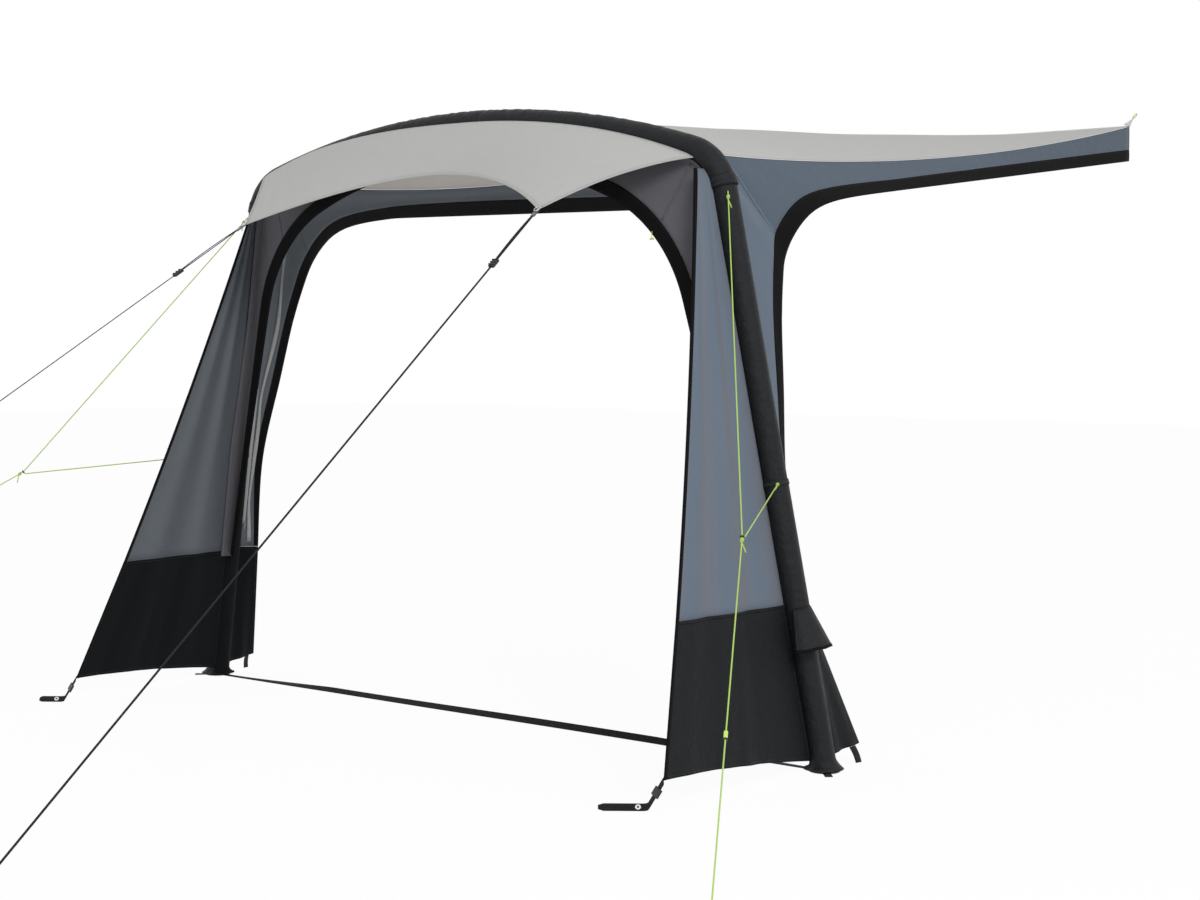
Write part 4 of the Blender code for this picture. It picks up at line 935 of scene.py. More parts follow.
# %% Spread the roof and the visor
RAIL_HALF_LENGTH, RAIL_DISTANCE, RAIL_HEIGHT = 1.26, 2.80, 2.325
SEAM_SAG_POWER, MIDDLE_SAG_POWER = 1.77, 1.15
VISOR_MIDDLE = Vector((0.0, -0.280, 1.947))
VISOR_SIDE_DRAW, VISOR_BELLY = 0.055, 0.012
VISOR_SIDE, VISOR_END = radians(-90), radians(-112)
VISOR_SHORT, VISOR_LAP, VISOR_HEM, VISOR_SIDE_HEM = 0.055, radians(50), 0.010, 0.009
ROOF_SHORT, ROOF_SIDE, ROOF_END = 0.045, radians(60), radians(82)
ROOF_SCALLOP, ROOF_SCALLOPS, ROOF_FURROW, ROOF_CREASE, ROOF_CREASE_SIZE = -0.0035, 7, 0.0030, 0.006, 0.55
VISOR_RAY, VISOR_CREASE, VISOR_CREASE_SIZE = 0.0018, 0.003, 0.30


def roof_point(share, back):
    """The roof at a share of its half width and a share of the way from the arch to the rail."""
    run = share * (SHOULDER_RUN - ROOF_SHORT * abs(share) ** 3)
    front = on_beam(run, between(ROOF_SIDE, ROOF_END, share**4), ATTACH)
    rail = Vector((share * RAIL_HALF_LENGTH, RAIL_DISTANCE, RAIL_HEIGHT))
    point = between(front, rail, back)
    point.z = front.z + (rail.z - front.z) * back ** between(MIDDLE_SAG_POWER, SEAM_SAG_POWER, share**2)
    return point


def creased_roof(share, back):
    point = roof_point(share, back)
    free = (1 - share**6) * min(1.0, back / 0.12)
    scallop = ROOF_SCALLOP * abs(sin(share * pi * ROOF_SCALLOPS)) * back**14
    furrow = ROOF_FURROW * sin(share * 16) * sin(pi * back) ** 0.8 * abs(share) ** 1.5
    crease = crumple(point, ROOF_CREASE_SIZE, ROOF_CREASE, 1.0) * (1 - back**8)
    point.z += free * (furrow + crease) + (1 - share**6) * scallop
    return point


def visor_point(share, forward):
    draw = VISOR_SIDE_DRAW if share > 0 else VISOR_SIDE_DRAW * 0.1
    drawn = share * (1 - draw * 4 * forward * (1 - forward))
    lap = VISOR_LAP * min(1.0, max(0.0, -share) * 1.4) ** 1.5
    run = drawn * (SHOULDER_RUN - VISOR_SHORT * abs(share) ** 3)
    rear = on_beam(run, between(VISOR_SIDE, VISOR_END, share**4) + lap, ATTACH)
    front = between(VISOR_MIDDLE, VISOR_CORNER, drawn**2)
    front.x = VISOR_CORNER.x * drawn
    point = between(rear, front, forward)
    point.z += VISOR_BELLY * sin(pi * forward) * cos(share * pi / 2)
    return point


def creased_visor(share, forward):
    point = visor_point(share, forward)
    drawn = window(abs(share), 0.90, 0.30) * forward**1.5 * min(1.0, (1 - forward) / 0.08)
    ray = sin(share * 70) * VISOR_RAY * drawn
    crease = crumple(point, VISOR_CREASE_SIZE, VISOR_CREASE, 4.0) * sin(pi * forward)
    point.z += (ray + crease) * (1 - share**10)
    return point


def roof_sheet(name, surface, columns, rows, rests_on, **cut):
    sew(name, surface, columns, rows, roof_cloth, "stretched", rests_on, lining=roof_lining, **cut)


crown = "sleeve_crown_cloth"
roof_rows = steps(0.0, 0.9, 54) + steps(0.9, 1.0, 12)[1:]
roof_sheet("roof_panel", creased_roof, steps(-1, 1, 96), roof_rows, [crown, "keder_bead_rope"], hems="bt")
shares, rows = steps(-1, 1, 120), steps(0.0, 0.97, 20)
edges = ([creased_visor(share, forward) for share in shares] for forward in (1.0, 0.95))
visor_hems = [binding("visor_hem", *edges, VISOR_HEM, roof_cloth)]
for side in SIDES:
    edges = ([creased_visor(side * out, forward) for forward in rows] for out in (1.0, 0.97))
    visor_hems.append(binding(hand("visor_side_hem", side), *edges, VISOR_SIDE_HEM, roof_cloth))
roof_sheet("visor_panel", creased_visor, shares, steps(0, 1, 28), [crown], hems="lrt", pieces=visor_hems)

# %% [markdown]
# Behind each leg a blue-grey wall is cut away to a doorway. A black trim follows the cut: up the leg, round the
# corner, then back under the roof to the rail. One slanting seam joins the wall's two pieces where the cloth turns
# the corner, and the cloth there is pulled into fine rays.

# %% Hang the side walls
SKIRT_HEIGHT = 0.53
DOORWAY_UPRIGHT = (
    (0.092, SKIRT_HEIGHT + 0.0008, 0.044), (0.070, 0.890, 0.030), (0.122, 1.220, 0.018), (0.165, 1.474, 0.008),
    (0.222, 1.666, 0.000),
)
DOORWAY_HEAD_HEIGHT, DOORWAY_HEAD_SLOPE = 1.800, 0.1335
DOORWAY_CORNER_DROP, DOORWAY_CORNER_LENGTH = 0.164, 0.092
LEFT_SAG, LEFT_SAG_START = 0.053, 0.75
CORNER_SPREAD = steps(-0.028, 0.028, 6)
SIDE_TRIM_FOOT_WIDTH, SIDE_TRIM_LEG_WIDTH, SIDE_TRIM_SHARE = 0.026, 0.050, 0.70
SEWN_LEG_WIDTH, SEWN_HEAD_WIDTHS = 0.072, {1: 0.050, -1: 0.078}
TRIM_LAP, TRIM_TUCK = 0.006, 0.0018
WALL_SIDE, WALL_TOP_RUN, LEG_SHARE = radians(90), SHOULDER_RUN - ROOF_SHORT - 0.004, 0.40
WALL_ROWS = steps(0.0, 0.30, 26) + steps(0.30, 0.52, 44)[1:] + steps(0.52, 1.0, 56)[1:]
WALL_SEAM_SHARE, WALL_SEAM_SLANT, WALL_SEAM_WIDTH, WALL_SEAM_LIFT = 0.405, 0.012, 0.009, 0.0009
WALL_RAY, WALL_RAYS, WALL_WAVE, WALL_WAVES = 0.0032, 17, 0.0030, 6
WALL_CREASE, WALL_CREASE_SIZE, SIDE_TRIM_RIPPLE = 0.0012, 0.18, 0.0012


def smooth(points, index):
    """A point of a curve that runs smoothly through a list of points, at a whole or part index."""
    start = min(int(index), len(points) - 2)
    share = index - start
    before, after = points[max(start - 1, 0)], points[min(start + 2, len(points) - 1)]
    return tuple(
        0.5 * (2 * b + (c - a) * share + (2 * a - 5 * b + 4 * c - d) * share**2 + (3 * b - a - 3 * c + d) * share**3)
        for a, b, c, d in zip(before, points[start], points[start + 1], after)
    )


def leg_x(z):
    return FOOT_HALF_SPAN - tan(LEG_TILT) * z / cos(FORWARD_LEAN)


def head_share(share):
    """How far a share of the wall's edge is along its head, from the corner back to the rail."""
    return (share - LEG_SHARE) / (1 - LEG_SHARE)


def doorway_edge(share):
    """The free edge of the side wall, from the skirt up and back to the rail."""
    if share < LEG_SHARE:
        y, z, turn = smooth(DOORWAY_UPRIGHT, share / LEG_SHARE * (len(DOORWAY_UPRIGHT) - 1))
        return Vector((leg_x(z) - turn, y, z))
    bend_y, bend_z, _ = DOORWAY_UPRIGHT[-1]
    back = head_share(share) ** 1.15
    y = between(bend_y, RAIL_DISTANCE, back)
    drop = DOORWAY_CORNER_DROP * exp(-(y - bend_y) / DOORWAY_CORNER_LENGTH)
    x = between(leg_x(bend_z), RAIL_HALF_LENGTH, back**0.85)
    return Vector((x, y, DOORWAY_HEAD_HEIGHT + DOORWAY_HEAD_SLOPE * y - drop))


def wall_edge(share):
    """The sewn edge of the side wall: up the back of the leg, then under the roof's side seam."""
    if share < LEG_SHARE:
        return on_beam(between(BEAM.run_at(DOORWAY_UPRIGHT[0][1]), WALL_TOP_RUN, share / LEG_SHARE), WALL_SIDE, SEWN)
    back = head_share(share)
    start = roof_point(1.0, 0.0) - on_beam(WALL_TOP_RUN, WALL_SIDE, SEWN)
    return roof_point(1.0, back) - between(start, Vector((0.0015, 0.0, CLOTH * 1.1)), min(1.0, back / 0.02))


def side_point(share, inward, side=1):
    """A point of the right wall, or of the left one before it is mirrored: its head hangs lower towards the rail."""
    near = CORNER_SPREAD if 0.3 <= share <= 0.9 else [0.0]
    edge = sum((doorway_edge(share + offset) for offset in near), Vector()) / len(near)
    if side < 0:
        edge.z -= LEFT_SAG * max(0.0, edge.y - LEFT_SAG_START)
    return between(edge, wall_edge(share), inward)


def trim_share(share, side, extra=0.0):
    """The trim's part of the wall's width: it widens up the leg, and is widest on the left side's slack head."""
    width = (side_point(share, 1.0, side) - side_point(share, 0.0, side)).length
    leg = between(SIDE_TRIM_FOOT_WIDTH, SEWN_LEG_WIDTH, min(1.0, share / LEG_SHARE))
    trim = between(leg, SEWN_HEAD_WIDTHS[side], clamp(head_share(share) * 3))
    return (min(trim, SIDE_TRIM_SHARE * width) + extra) / width


def wall_seam(across):
    """Where the slanting seam runs, as a share of the way along the wall."""
    return WALL_SEAM_SHARE + WALL_SEAM_SLANT * (across - 0.5)


def behind_seam(across, share):
    """The wall's second piece, from the seam back to the rail, is the panel cloth coloured darker: painted shade under
    the roof.
    """
    return share > wall_seam(across) - 0.002


for side in SIDES:

    def creased_wall(across, share):
        """The wall, with rays that fan out of the doorway's corner and slow waves along the head."""
        point = side_point(share, between(trim_share(share, side, -TRIM_LAP), 1.0, across), side)
        point.x -= TRIM_TUCK * max(0.0, 1 - across / 0.15)
        free = sin(pi * across) ** 0.7 if 0 < across < 1 else 0.0
        rays = WALL_RAY * window(share, LEG_SHARE, 0.11) * sin(share * TURN * WALL_RAYS + across * 2.0)
        waves = WALL_WAVE * window(share, 0.75, 0.25) * sin(share * TURN * WALL_WAVES)
        point.x += free * (rays + waves + crumple(point, WALL_CREASE_SIZE, WALL_CREASE, 2.0) * (share > 0.30))
        return point

    def creased_trim(across, share):
        point = side_point(share, trim_share(share, side) * across, side)
        point.x += SIDE_TRIM_RIPPLE * sin(pi * across) * sin(share * 40)
        return point

    wall, places = mirrored(creased_wall, side), [(share, wall_seam(share)) for share in steps(0.02, 0.98, 16)]
    seams = [
        seam(hand(name, side), wall, places, RIGHT * side * face, WALL_SEAM_WIDTH, finish, WALL_SEAM_LIFT)
        for name, face, finish in (("wall_seam", 1, panel_cloth), ("wall_seam_inside", -1, panel_lining))
    ]
    sew(
        "side_wall", creased_wall, steps(0, 1, 14), WALL_ROWS, panel_cloth, "hung",
        ["roof_panel_cloth", cloth_of("sleeve_lower", side)], side, pieces=seams, hems="lr", lining=panel_lining,
        second=(behind_seam, head_cloth_painted_shade),
    )
    hangs_on = [cloth_of("side_wall", side)]
    sew("side_trim", creased_trim, steps(0, 1, 5), WALL_ROWS, trim_cloth, "hung", hangs_on, side, hems="lr")

# %% [markdown]
# In front of each leg stands a wing: a tall triangle of blue-grey cloth with a black binding down its free edge. It
# hangs in upright folds that are deepest half way between the leg and the binding. Below it, and behind the leg, black
# skirts close the gap to the ground.

# %% Set up the wings and the skirts
WING_TOP, WING_CORNER, WING_BOW = Vector((1.035, -0.160, 1.930)), Vector((1.372, -0.765, 0.090)), 0.030
SKIRT_HEM_CLEARANCE, SKIRT_HEM_RISE = 0.004, 0.012
WING_FOLD, WING_FOLDS, WING_SIDE = 0.007, 2.5, radians(-120)
WING_BINDING_WIDTH, SKIRT_SEAM_WIDTH, SEAM_INSIDE = 0.013, 0.010, 0.002
WING_CREASE, WING_CREASE_SIZE = 0.0022, 0.16
SKIRT_RIPPLE, SKIRT_CREASE, SKIRT_CREASE_SIZE = 0.0016, 0.002, 0.12
REAR_SKIRT_CORNER = Vector((1.461, 0.202, 0.060))
SKIRT_RUN, SKIRT_HEM_RUN = BEAM.run_at(SKIRT_HEIGHT), BEAM.run_at(BOOT_HEIGHT + SKIRT_HEM_CLEARANCE)
WING_ROWS, SKIRT_ROWS = BEAM.stations(SHOULDER_RUN + 0.006, SKIRT_RUN), steps(0, 1, 20)


def fold(forward, fullness):
    """Upright folds that die out at both edges, with a smaller ripple on them."""
    turns = forward * WING_FOLDS * TURN
    return WING_FOLD * fullness * (sin(turns) + 0.22 * sin(turns * 2 + 0.8)) * sin(pi * forward)


def creased_wing(forward, run):
    sewn = on_beam(run, WING_SIDE, SEWN)
    height = min(sewn.z, WING_TOP.z)
    share = (WING_TOP.z - height) / (WING_TOP.z - WING_CORNER.z)
    edge = between(WING_TOP, WING_CORNER, share)
    edge.y += WING_BOW * 4 * share * (1 - share)
    point = between(sewn, edge, forward)
    point.x += fold(forward, min(1.0, (WING_TOP.z - height) / 0.6))
    stretched = Vector((point.x, point.y * 2.2, point.z * 0.35))
    point.x += sin(pi * clamp(forward)) * crumple(stretched, WING_CREASE_SIZE, WING_CREASE, 6.0)
    return point


def skirt_point(forward, drop):
    """The skirt below a wing, from the split line down to a hem that rises towards its pegged corner."""
    top = creased_wing(forward, SKIRT_RUN)
    hem = between(on_beam(SKIRT_HEM_RUN, WING_SIDE, SEWN), WING_CORNER, forward)
    hem.z += SKIRT_HEM_RISE * 4 * forward * (1 - forward)
    hem.x += fold(forward, 0.6)
    point = between(top, hem, between(CLEARANCE / (top - hem).length, 1.0, drop))
    ripple = sin(forward * 46) * SKIRT_RIPPLE + crumple(point, SKIRT_CREASE_SIZE, SKIRT_CREASE, 7.0)
    point.x += sin(pi * clamp(forward)) * ripple * sin(pi * min(drop, 0.9) / 1.8)
    return point


def rear_skirt_point(back, drop):
    sewn = on_beam(between(SKIRT_RUN, SKIRT_HEM_RUN, drop), WALL_SIDE, SEWN)
    corner = doorway_edge(0.0)
    top = Vector((corner.x, corner.y, SKIRT_HEIGHT * cos(FORWARD_LEAN)))
    point = between(sewn, between(top, REAR_SKIRT_CORNER, drop), back)
    point.x += WING_FOLD * 0.8 * drop * sin(back * 3 * pi) * sin(pi * back)
    return point


def front_edge(forward, side):
    """The points down the wing and its skirt at one share of the way to the free edge."""
    points = [creased_wing(forward, run) for run in WING_ROWS]
    points += [skirt_point(forward, drop) for drop in steps(0, 1, 12)[1:]]
    return [sided(point, side) for point in points]


for side in SIDES:
    leg, wing, columns = cloth_of("sleeve_lower", side), mirrored(creased_wing, side), steps(0, 1, 48)
    edges = (front_edge(forward, side) for forward in (1.0, 0.93))
    tape = binding(hand("wing_binding", side), *edges, WING_BINDING_WIDTH, trim_cloth)
    places = [(forward, SKIRT_RUN) for forward in steps(0.0, 0.98, 40)]
    split = seam(
        hand("skirt_seam", side), wing, places, RIGHT * side, SKIRT_SEAM_WIDTH, skirt_cloth, inside=SEAM_INSIDE,
    )
    sew(
        "front_wing", creased_wing, columns, WING_ROWS, wing_cloth_outside, "stretched", [leg], side,
        pieces=[tape, split], hems="b", lining=panel_lining,
    )
    for name, surface, columns, rests_on, hems in (
        ("front_skirt", skirt_point, columns, [cloth_of("front_wing", side), leg], "bt"),
        ("rear_skirt", rear_skirt_point, SKIRT_ROWS, [leg], "brt"),
    ):
        sew(name, surface, columns, SKIRT_ROWS, skirt_cloth, "hung", rests_on, side, hems=hems, lining=skirt_lining_painted_shade)

# %% [markdown]
# The fascia fills the space between the beam and the front opening. It wraps the inner side of the beam, and a black
# trim runs round its inner edge. One slanting seam at each shoulder joins its pieces. It is cloth too, so it bows a
# little between its edges.

# %% Fit the fascia and the front trim
OPENING_FORWARD, OPENING_FOOT = 0.074, 0.512
TRIM_WIDTH, TRIM_FOOT_WIDTH, TRIM_NARROWS_BELOW = 0.051, 0.020, 1.5
OPENING = Arch(half_span=1.380, tilt=radians(14.85), shoulder=0.528, crown=1.70, height=2.000)
COVER_LOOSE = ((-114, 0.0327), (-125, 0.0207), (-142, 0.0087), (-160, 0.0037))
COVER_CLOSE = ((-127, 0.0032), (-134, 0.0030), (-142, 0.0015), (-150, 0.0))
COVER_LOOSE_BELOW, COVER_CLOSE_ABOVE = 0.95, 1.45
COVER_END, FASCIA_STEPS, FASCIA_SEAM, FASCIA_SEAM_WIDTH = 3, 12, (0.400, 0.418), 0.008
OPENING_END, BEAM_END = OPENING.run_at(OPENING_FOOT), BEAM.run_at(OPENING_FOOT)
FASCIA_RAY, FASCIA_CREASE, FASCIA_CREASE_SIZE = 0.0022, 0.0022, 0.16
FRONT_TRIM_CREASE, FRONT_TRIM_CREASE_SIZE = 0.0010, 0.07


def opening_point(run, width):
    point, normal = OPENING.at(run)
    return place(point + normal * width, -OPENING_FORWARD)


def trim_width(run):
    share = (OPENING.at(run)[0].y - OPENING_FOOT) / (TRIM_NARROWS_BELOW - OPENING_FOOT)
    return between(TRIM_FOOT_WIDTH, TRIM_WIDTH, clamp(share))


def cover_point(column, run):
    """The fascia where it wraps the inner side of the beam; column runs from 0 to 3 and need not be whole."""
    height = on_beam(run, pi, ATTACH).z
    close = clamp((height - COVER_LOOSE_BELOW) / (COVER_CLOSE_ABOVE - COVER_LOOSE_BELOW))
    first = min(int(column), COVER_END - 1)
    angles, lifts = zip(*(
        [between(loose, tight, close) for loose, tight in zip(COVER_LOOSE[index], COVER_CLOSE[index])]
        for index in (first, first + 1)
    ))
    share = column - first
    return on_beam(run, radians(between(*angles, share)), ATTACH + between(*lifts, share))


def fascia_point(column, share):
    if column <= COVER_END:
        return cover_point(column, share * BEAM_END)
    inward, run = column - COVER_END, share * OPENING_END
    sewn, free_edge = cover_point(COVER_END, share * BEAM_END), opening_point(run, trim_width(run) - TRIM_LAP)
    point = between(sewn, free_edge, inward)
    point.y += TRIM_TUCK * inward
    rays = FASCIA_RAY * window(abs(share), 0.47, 0.20) * sin(share * 150 + column * 3)
    point.y += sin(pi * inward) * (rays + crumple(point, FASCIA_CREASE_SIZE, FASCIA_CREASE, 9.0))
    return point


def front_trim_point(inward, share):
    run = share * OPENING_END
    point = opening_point(run, trim_width(run) * (1 - inward))
    point.y += sin(pi * inward) * crumple(point, FRONT_TRIM_CREASE_SIZE, FRONT_TRIM_CREASE, 11.0)
    return point


fascia_columns = steps(0.0, COVER_END, 6) + steps(COVER_END, COVER_END + 1, FASCIA_STEPS)[1:]
fascia_shares = [run / BEAM_END for run in BEAM.stations(-BEAM_END, BEAM_END)]
seams = []
for side in SIDES:
    places = [(3.04 + 0.90 * share, side * between(*FASCIA_SEAM, share)) for share in steps(0, 1, 12)]
    seams.append(seam(hand("fascia_seam", side), fascia_point, places, -BACK, FASCIA_SEAM_WIDTH, fascia_cloth))
for name, surface, columns, finish, rests_on, pieces in (
    ("front_fascia", fascia_point, fascia_columns, fascia_cloth, crown, seams),
    ("front_trim", front_trim_point, steps(0, 1, 6), trim_cloth, "front_fascia_cloth", []),
):
    sew(name, surface, columns, fascia_shares, finish, "stretched", [rests_on], pieces=pieces, hems="lr")

# %% [markdown]
# A small lime toggle hangs from the front trim near the right shoulder: it holds the rolled door panel, and here it
# only hangs down. On the wall behind each leg is half of the zip that the door panel joins: a tape sewn along one
# edge, a chain of moulded teeth along the other, and a slider.

# %% Hang the toggle and make the zips
ZIP_FOOT, ZIP_TOP, ZIP_SHARE, ZIP_SEAM_SHARE = 0.60, 1.15, 0.70, 0.95
ZIP_STAND_OFF, ZIP_CHAIN, ZIP_THICKNESS, SLIDER_LENGTH = 0.0062, 0.006, 0.001, 0.014
TOOTH_PITCH, PULL_RISE, PULL_BEVEL = 0.0040, 0.0026, 0.0004
TOOTH, PULL_RING = (TOOTH_PITCH * 0.42, ZIP_CHAIN * 0.30, 0.0014), (0.006, 0.0034, 0.0012)
PULL_TAB, PULL_TAB_HANG, PULL_TAB_RISE = (0.026, 0.0055, 0.0011), 0.016, 0.0004
ZIP_GUARD_FOOT, ZIP_GUARD_TOP, ZIP_GUARD_WIDTH, ZIP_GUARD_ROWS = 0.545, 1.60, 0.016, 40
GUARD_STAND, GUARD_OPEN, GUARD_RIPPLE = 0.004, 0.002, 0.0015
TOGGLE_SHARE, TOGGLE_CORD, TOGGLE_BAR, TOGGLE_BEVEL = 0.42, 0.0012, (0.006, 0.016, 0.006), 0.002
TOGGLE_STAND, TOGGLE_DROP = Vector((0.0, -0.0018, 0.0)), Vector((0, -0.001, -0.015))
TOGGLE_LACE = ((0, 0, 0.010), (0, -0.001, -0.004), (0, -0.001, -0.012))


def wall_share_at(height):
    low, high = 0.0, LEG_SHARE
    for _ in range(30):
        middle = (low + high) / 2
        low, high = (middle, high) if doorway_edge(middle).z < height else (low, middle)
    return low


def on_wall(share, inward, side):
    """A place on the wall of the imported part, measured from its narrower trim to the leg."""
    width = (wall_edge(share) - doorway_edge(share)).length
    trim = between(SIDE_TRIM_FOOT_WIDTH, SIDE_TRIM_LEG_WIDTH, share / LEG_SHARE)
    return sided(side_point(share, between(min(trim / width, SIDE_TRIM_SHARE), 1.0, inward)), side)


ZIP_SHARES = [wall_share_at(height) for height in (ZIP_FOOT, ZIP_TOP)]
GUARD_SHARES = [wall_share_at(height) for height in steps(ZIP_GUARD_FOOT, ZIP_GUARD_TOP, ZIP_GUARD_ROWS)]


def zip_line(side):
    """The foot and the top of the zip's chain, and its directions along, across and inwards."""
    ends = [on_wall(share, ZIP_SHARE, side) for share in ZIP_SHARES]
    spread = sum((sided(doorway_edge(share) - wall_edge(share), side) for share in ZIP_SHARES), Vector())
    along = (ends[1] - ends[0]).normalized()
    across = (spread - along * spread.dot(along)).normalized()
    inner = along.cross(across) * (1 if along.cross(across).x * side < 0 else -1)
    lift = inner * (CLOTH / 2 + ZIP_STAND_OFF + ZIP_THICKNESS / 2)
    return ends[0] + lift, ends[1] + lift, along, across, inner


def gather(name, boxes, along, across, finish, body="awning", bevel=0.0):
    """Small boxes, each (centre, size), with X along a direction and Y across it, as one piece."""
    up = along.cross(across).normalized()
    turn = Matrix((along, up.cross(along), up)).transposed().to_4x4()
    mesh, made = bpy.data.meshes.new(name), bmesh.new()
    for centre, size in boxes:
        box = bmesh.ops.create_cube(made, size=1.0)["verts"]
        bmesh.ops.scale(made, vec=size, verts=box)
        if bevel:
            edges = list({edge for vert in box for edge in vert.link_edges})
            bent = bmesh.ops.bevel(
                made, geom=edges, offset=bevel, segments=2, affect="EDGES", profile=0.5, material=-1,
            )["verts"]
            box = list(set(bent) | {vert for vert in box if vert.is_valid})
        bmesh.ops.transform(made, matrix=Matrix.Translation(centre) @ turn, verts=box)
    made.to_mesh(mesh)
    made.free()
    return new_piece(name, mesh, body, finish)


for side in SIDES:
    foot, top, along, across, inner = zip_line(side)
    wall = [cloth_of("side_wall", side)]

    def tape_point(column, up):
        chain = between(foot, top, up)
        if column >= 1:
            return chain + across * (ZIP_CHAIN * (column - 1.5))
        sewn = on_wall(between(*ZIP_SHARES, up), ZIP_SEAM_SHARE, side)
        sewn += inner * (CLOTH / 2 + CLEARANCE + ZIP_THICKNESS / 2)
        return between(sewn, chain - across * ZIP_CHAIN / 2, column)

    def guard_point(column, index):
        point = on_wall(GUARD_SHARES[index], 0.40 + 0.08 * sin(index * 0.35), side)
        point += inner * (GUARD_STAND + GUARD_OPEN * column + GUARD_RIPPLE * sin(index * 0.8))
        return point + across * (ZIP_GUARD_WIDTH * column * (1 - 0.45 * sin(index * 0.21) ** 2))

    numbers = range(int((top - foot).length / TOOTH_PITCH))
    teeth = [(foot + along * (TOOTH_PITCH * (i + 0.5)) + across * (ZIP_CHAIN * 0.42), TOOTH) for i in numbers]
    chain = [gather(hand("zip_teeth", side), teeth, along, across, black_plastic)]
    pull = foot + along * (SLIDER_LENGTH / 2 + 0.004) + inner * PULL_RISE
    parts = [(pull, PULL_RING), (pull - along * PULL_TAB_HANG + inner * PULL_TAB_RISE, PULL_TAB)]
    gather(hand("zip_pull", side), parts, along, across, dark_metal, hand("zip_slider", side), PULL_BEVEL)
    for name, surface, columns, rows, held, ending, pieces in (
        ("zip_tape", tape_point, [0.0, 0.33, 0.66, 1.0, 1.5, 2.0], steps(0, 1, 24), "stretched", "_weave", chain),
        ("zip_guard", guard_point, steps(0, 1, 3), range(ZIP_GUARD_ROWS + 1), "hung", "", []),
    ):
        sew(
            hand(name, side), surface, columns, rows, zip_tape_weave, held, wall, ending=ending, pieces=pieces,
            thickness=TAPE_WALL,
        )
hang = opening_point(TOGGLE_SHARE * OPENING_END, 0.0) + TOGGLE_STAND
cord_curve("toggle_lace", [hang + Vector(offset) for offset in TOGGLE_LACE], TOGGLE_CORD, lime_braid)
gather("toggle", [(hang + TOGGLE_DROP, TOGGLE_BAR)], UP, RIGHT, lime_plastic, bevel=TOGGLE_BEVEL)

# %% [markdown]
# The valve's hood is a black flap sewn to the sleeve along its top edge and rounded over the valve. It rides on its
# own body, because it lifts. The ground strap is a plain black band that ties the two feet together.

# %% Cover the valve and tie the feet
HOOD_TOP, HOOD_BOTTOM, HOOD_FLARE, HOOD_WRAP, HOOD_BINDING_WIDTH = 0.520, 0.385, 0.092, radians(75), 0.008
WEBBING_WIDTH, WEBBING, WEBBING_WALL, STRAP_TWIST = 0.025, 0.002, 0.0018, radians(62)
REAR_TAB_SHARES, REAR_TAB_OUT, REAR_TAB_BACK, FOOT_PAD_RADIUS = (4 / 6, 5 / 6), 0.018, 0.012, 0.050
STRAP_HALF = FOOT_HALF_SPAN - FOOT_PAD_RADIUS - CLEARANCE
HOOD_FLUTE, HOOD_FLUTES, STRAP_WANDER, REAR_TAB_BOW = 0.0010, 9, 0.0015, 0.003


def hood_point(angle, drop):
    run = between(BEAM.run_at(HOOD_TOP), BEAM.run_at(HOOD_BOTTOM), drop)
    point = on_beam(run, angle, between(OUTER_SLEEVE + CLEARANCE + CLOTH / 2, HOOD_FLARE, drop))
    point.z += HOOD_FLUTE * drop * sin(angle * HOOD_FLUTES)
    return point


def strap_point(share, run):
    """The webbing lies flat at the feet and is turned half on its edge between them."""
    free = window(run, 0.0, STRAP_HALF)
    turn = STRAP_TWIST * min(1.0, 2.5 * free) * (0.8 + 0.2 * sin(run * 2.3))
    level = share * WEBBING_WIDTH * cos(turn) + STRAP_WANDER * sin(run * 4.1) * free
    return Vector((run, level, WEBBING / 2 + (share + 0.5) * WEBBING_WIDTH * sin(turn)))


def tab_point(share, drop):
    top = rear_skirt_point(between(*REAR_TAB_SHARES, share), 1.0) - UP * 2 * CLEARANCE
    point = between(top, Vector((top.x + REAR_TAB_OUT, top.y + REAR_TAB_BACK, WEBBING)), drop)
    point.x += REAR_TAB_BOW * sin(pi * drop)
    return point


def web(name, surface, shift, rows, held, rests_on, side=0, pieces=()):
    """A piece of webbing, five points wide, that stands for the CAD strap of its name."""
    columns = steps(shift, shift + 1.0, 4)
    sew(name, surface, columns, rows, webbing, held, rests_on, side, "_webbing", pieces, thickness=WEBBING_WALL)


angles = steps(-HOOD_WRAP, HOOD_WRAP, 30)
edges = ([hood_point(angle, drop) for angle in angles] for drop in (1.0, 0.9))
hood_tape = binding("valve_hood_binding", *edges, HOOD_BINDING_WIDTH, trim_cloth, "valve_hood")
sew(
    "valve_hood", hood_point, angles, steps(0, 1, 14), sleeve_cloth, "hung", ["sleeve_lower_right_cloth"],
    pieces=[hood_tape], hems="lrt", body="valve_hood",
)
web("ground_strap", strap_point, -0.5, steps(-STRAP_HALF, STRAP_HALF, 90), "laid", [])
for side in SIDES:
    web("rear_peg_tab", tab_point, 0.0, steps(0, 1, 10), "hung", [cloth_of("rear_skirt", side)], side)

# %% [markdown]
# From each front corner a webbing strap runs through a ladder-lock buckle, touches the ground at an eyelet for a peg,
# and trails off in a loose tail with a tapered tip. The buckle turns the band on its edge, so it lies at a slant.

# %% Run the peg straps
PEG_STRAP_DIRECTIONS = {1: Vector((-0.792, -0.610, 0.0)), -1: Vector((-0.794, -0.608, 0.0))}
PEG_STRAP_LENGTHS, PEG_STRAP_DROP, PEG_STRAP_TWIST = {1: 0.192, -1: 0.140}, 0.045, radians(45)
PEG_STRAP_BEND, LANDING_RISE = ((0.0035, 0.0017), (0.007, 0.0008), (0.014, 0.0)), 0.003
PEG_EYELET_DISTANCE, EYELET_RING, EYELET_WIRE, EYELET_STAND = 0.075, 0.0068, 0.0010, 0.0016


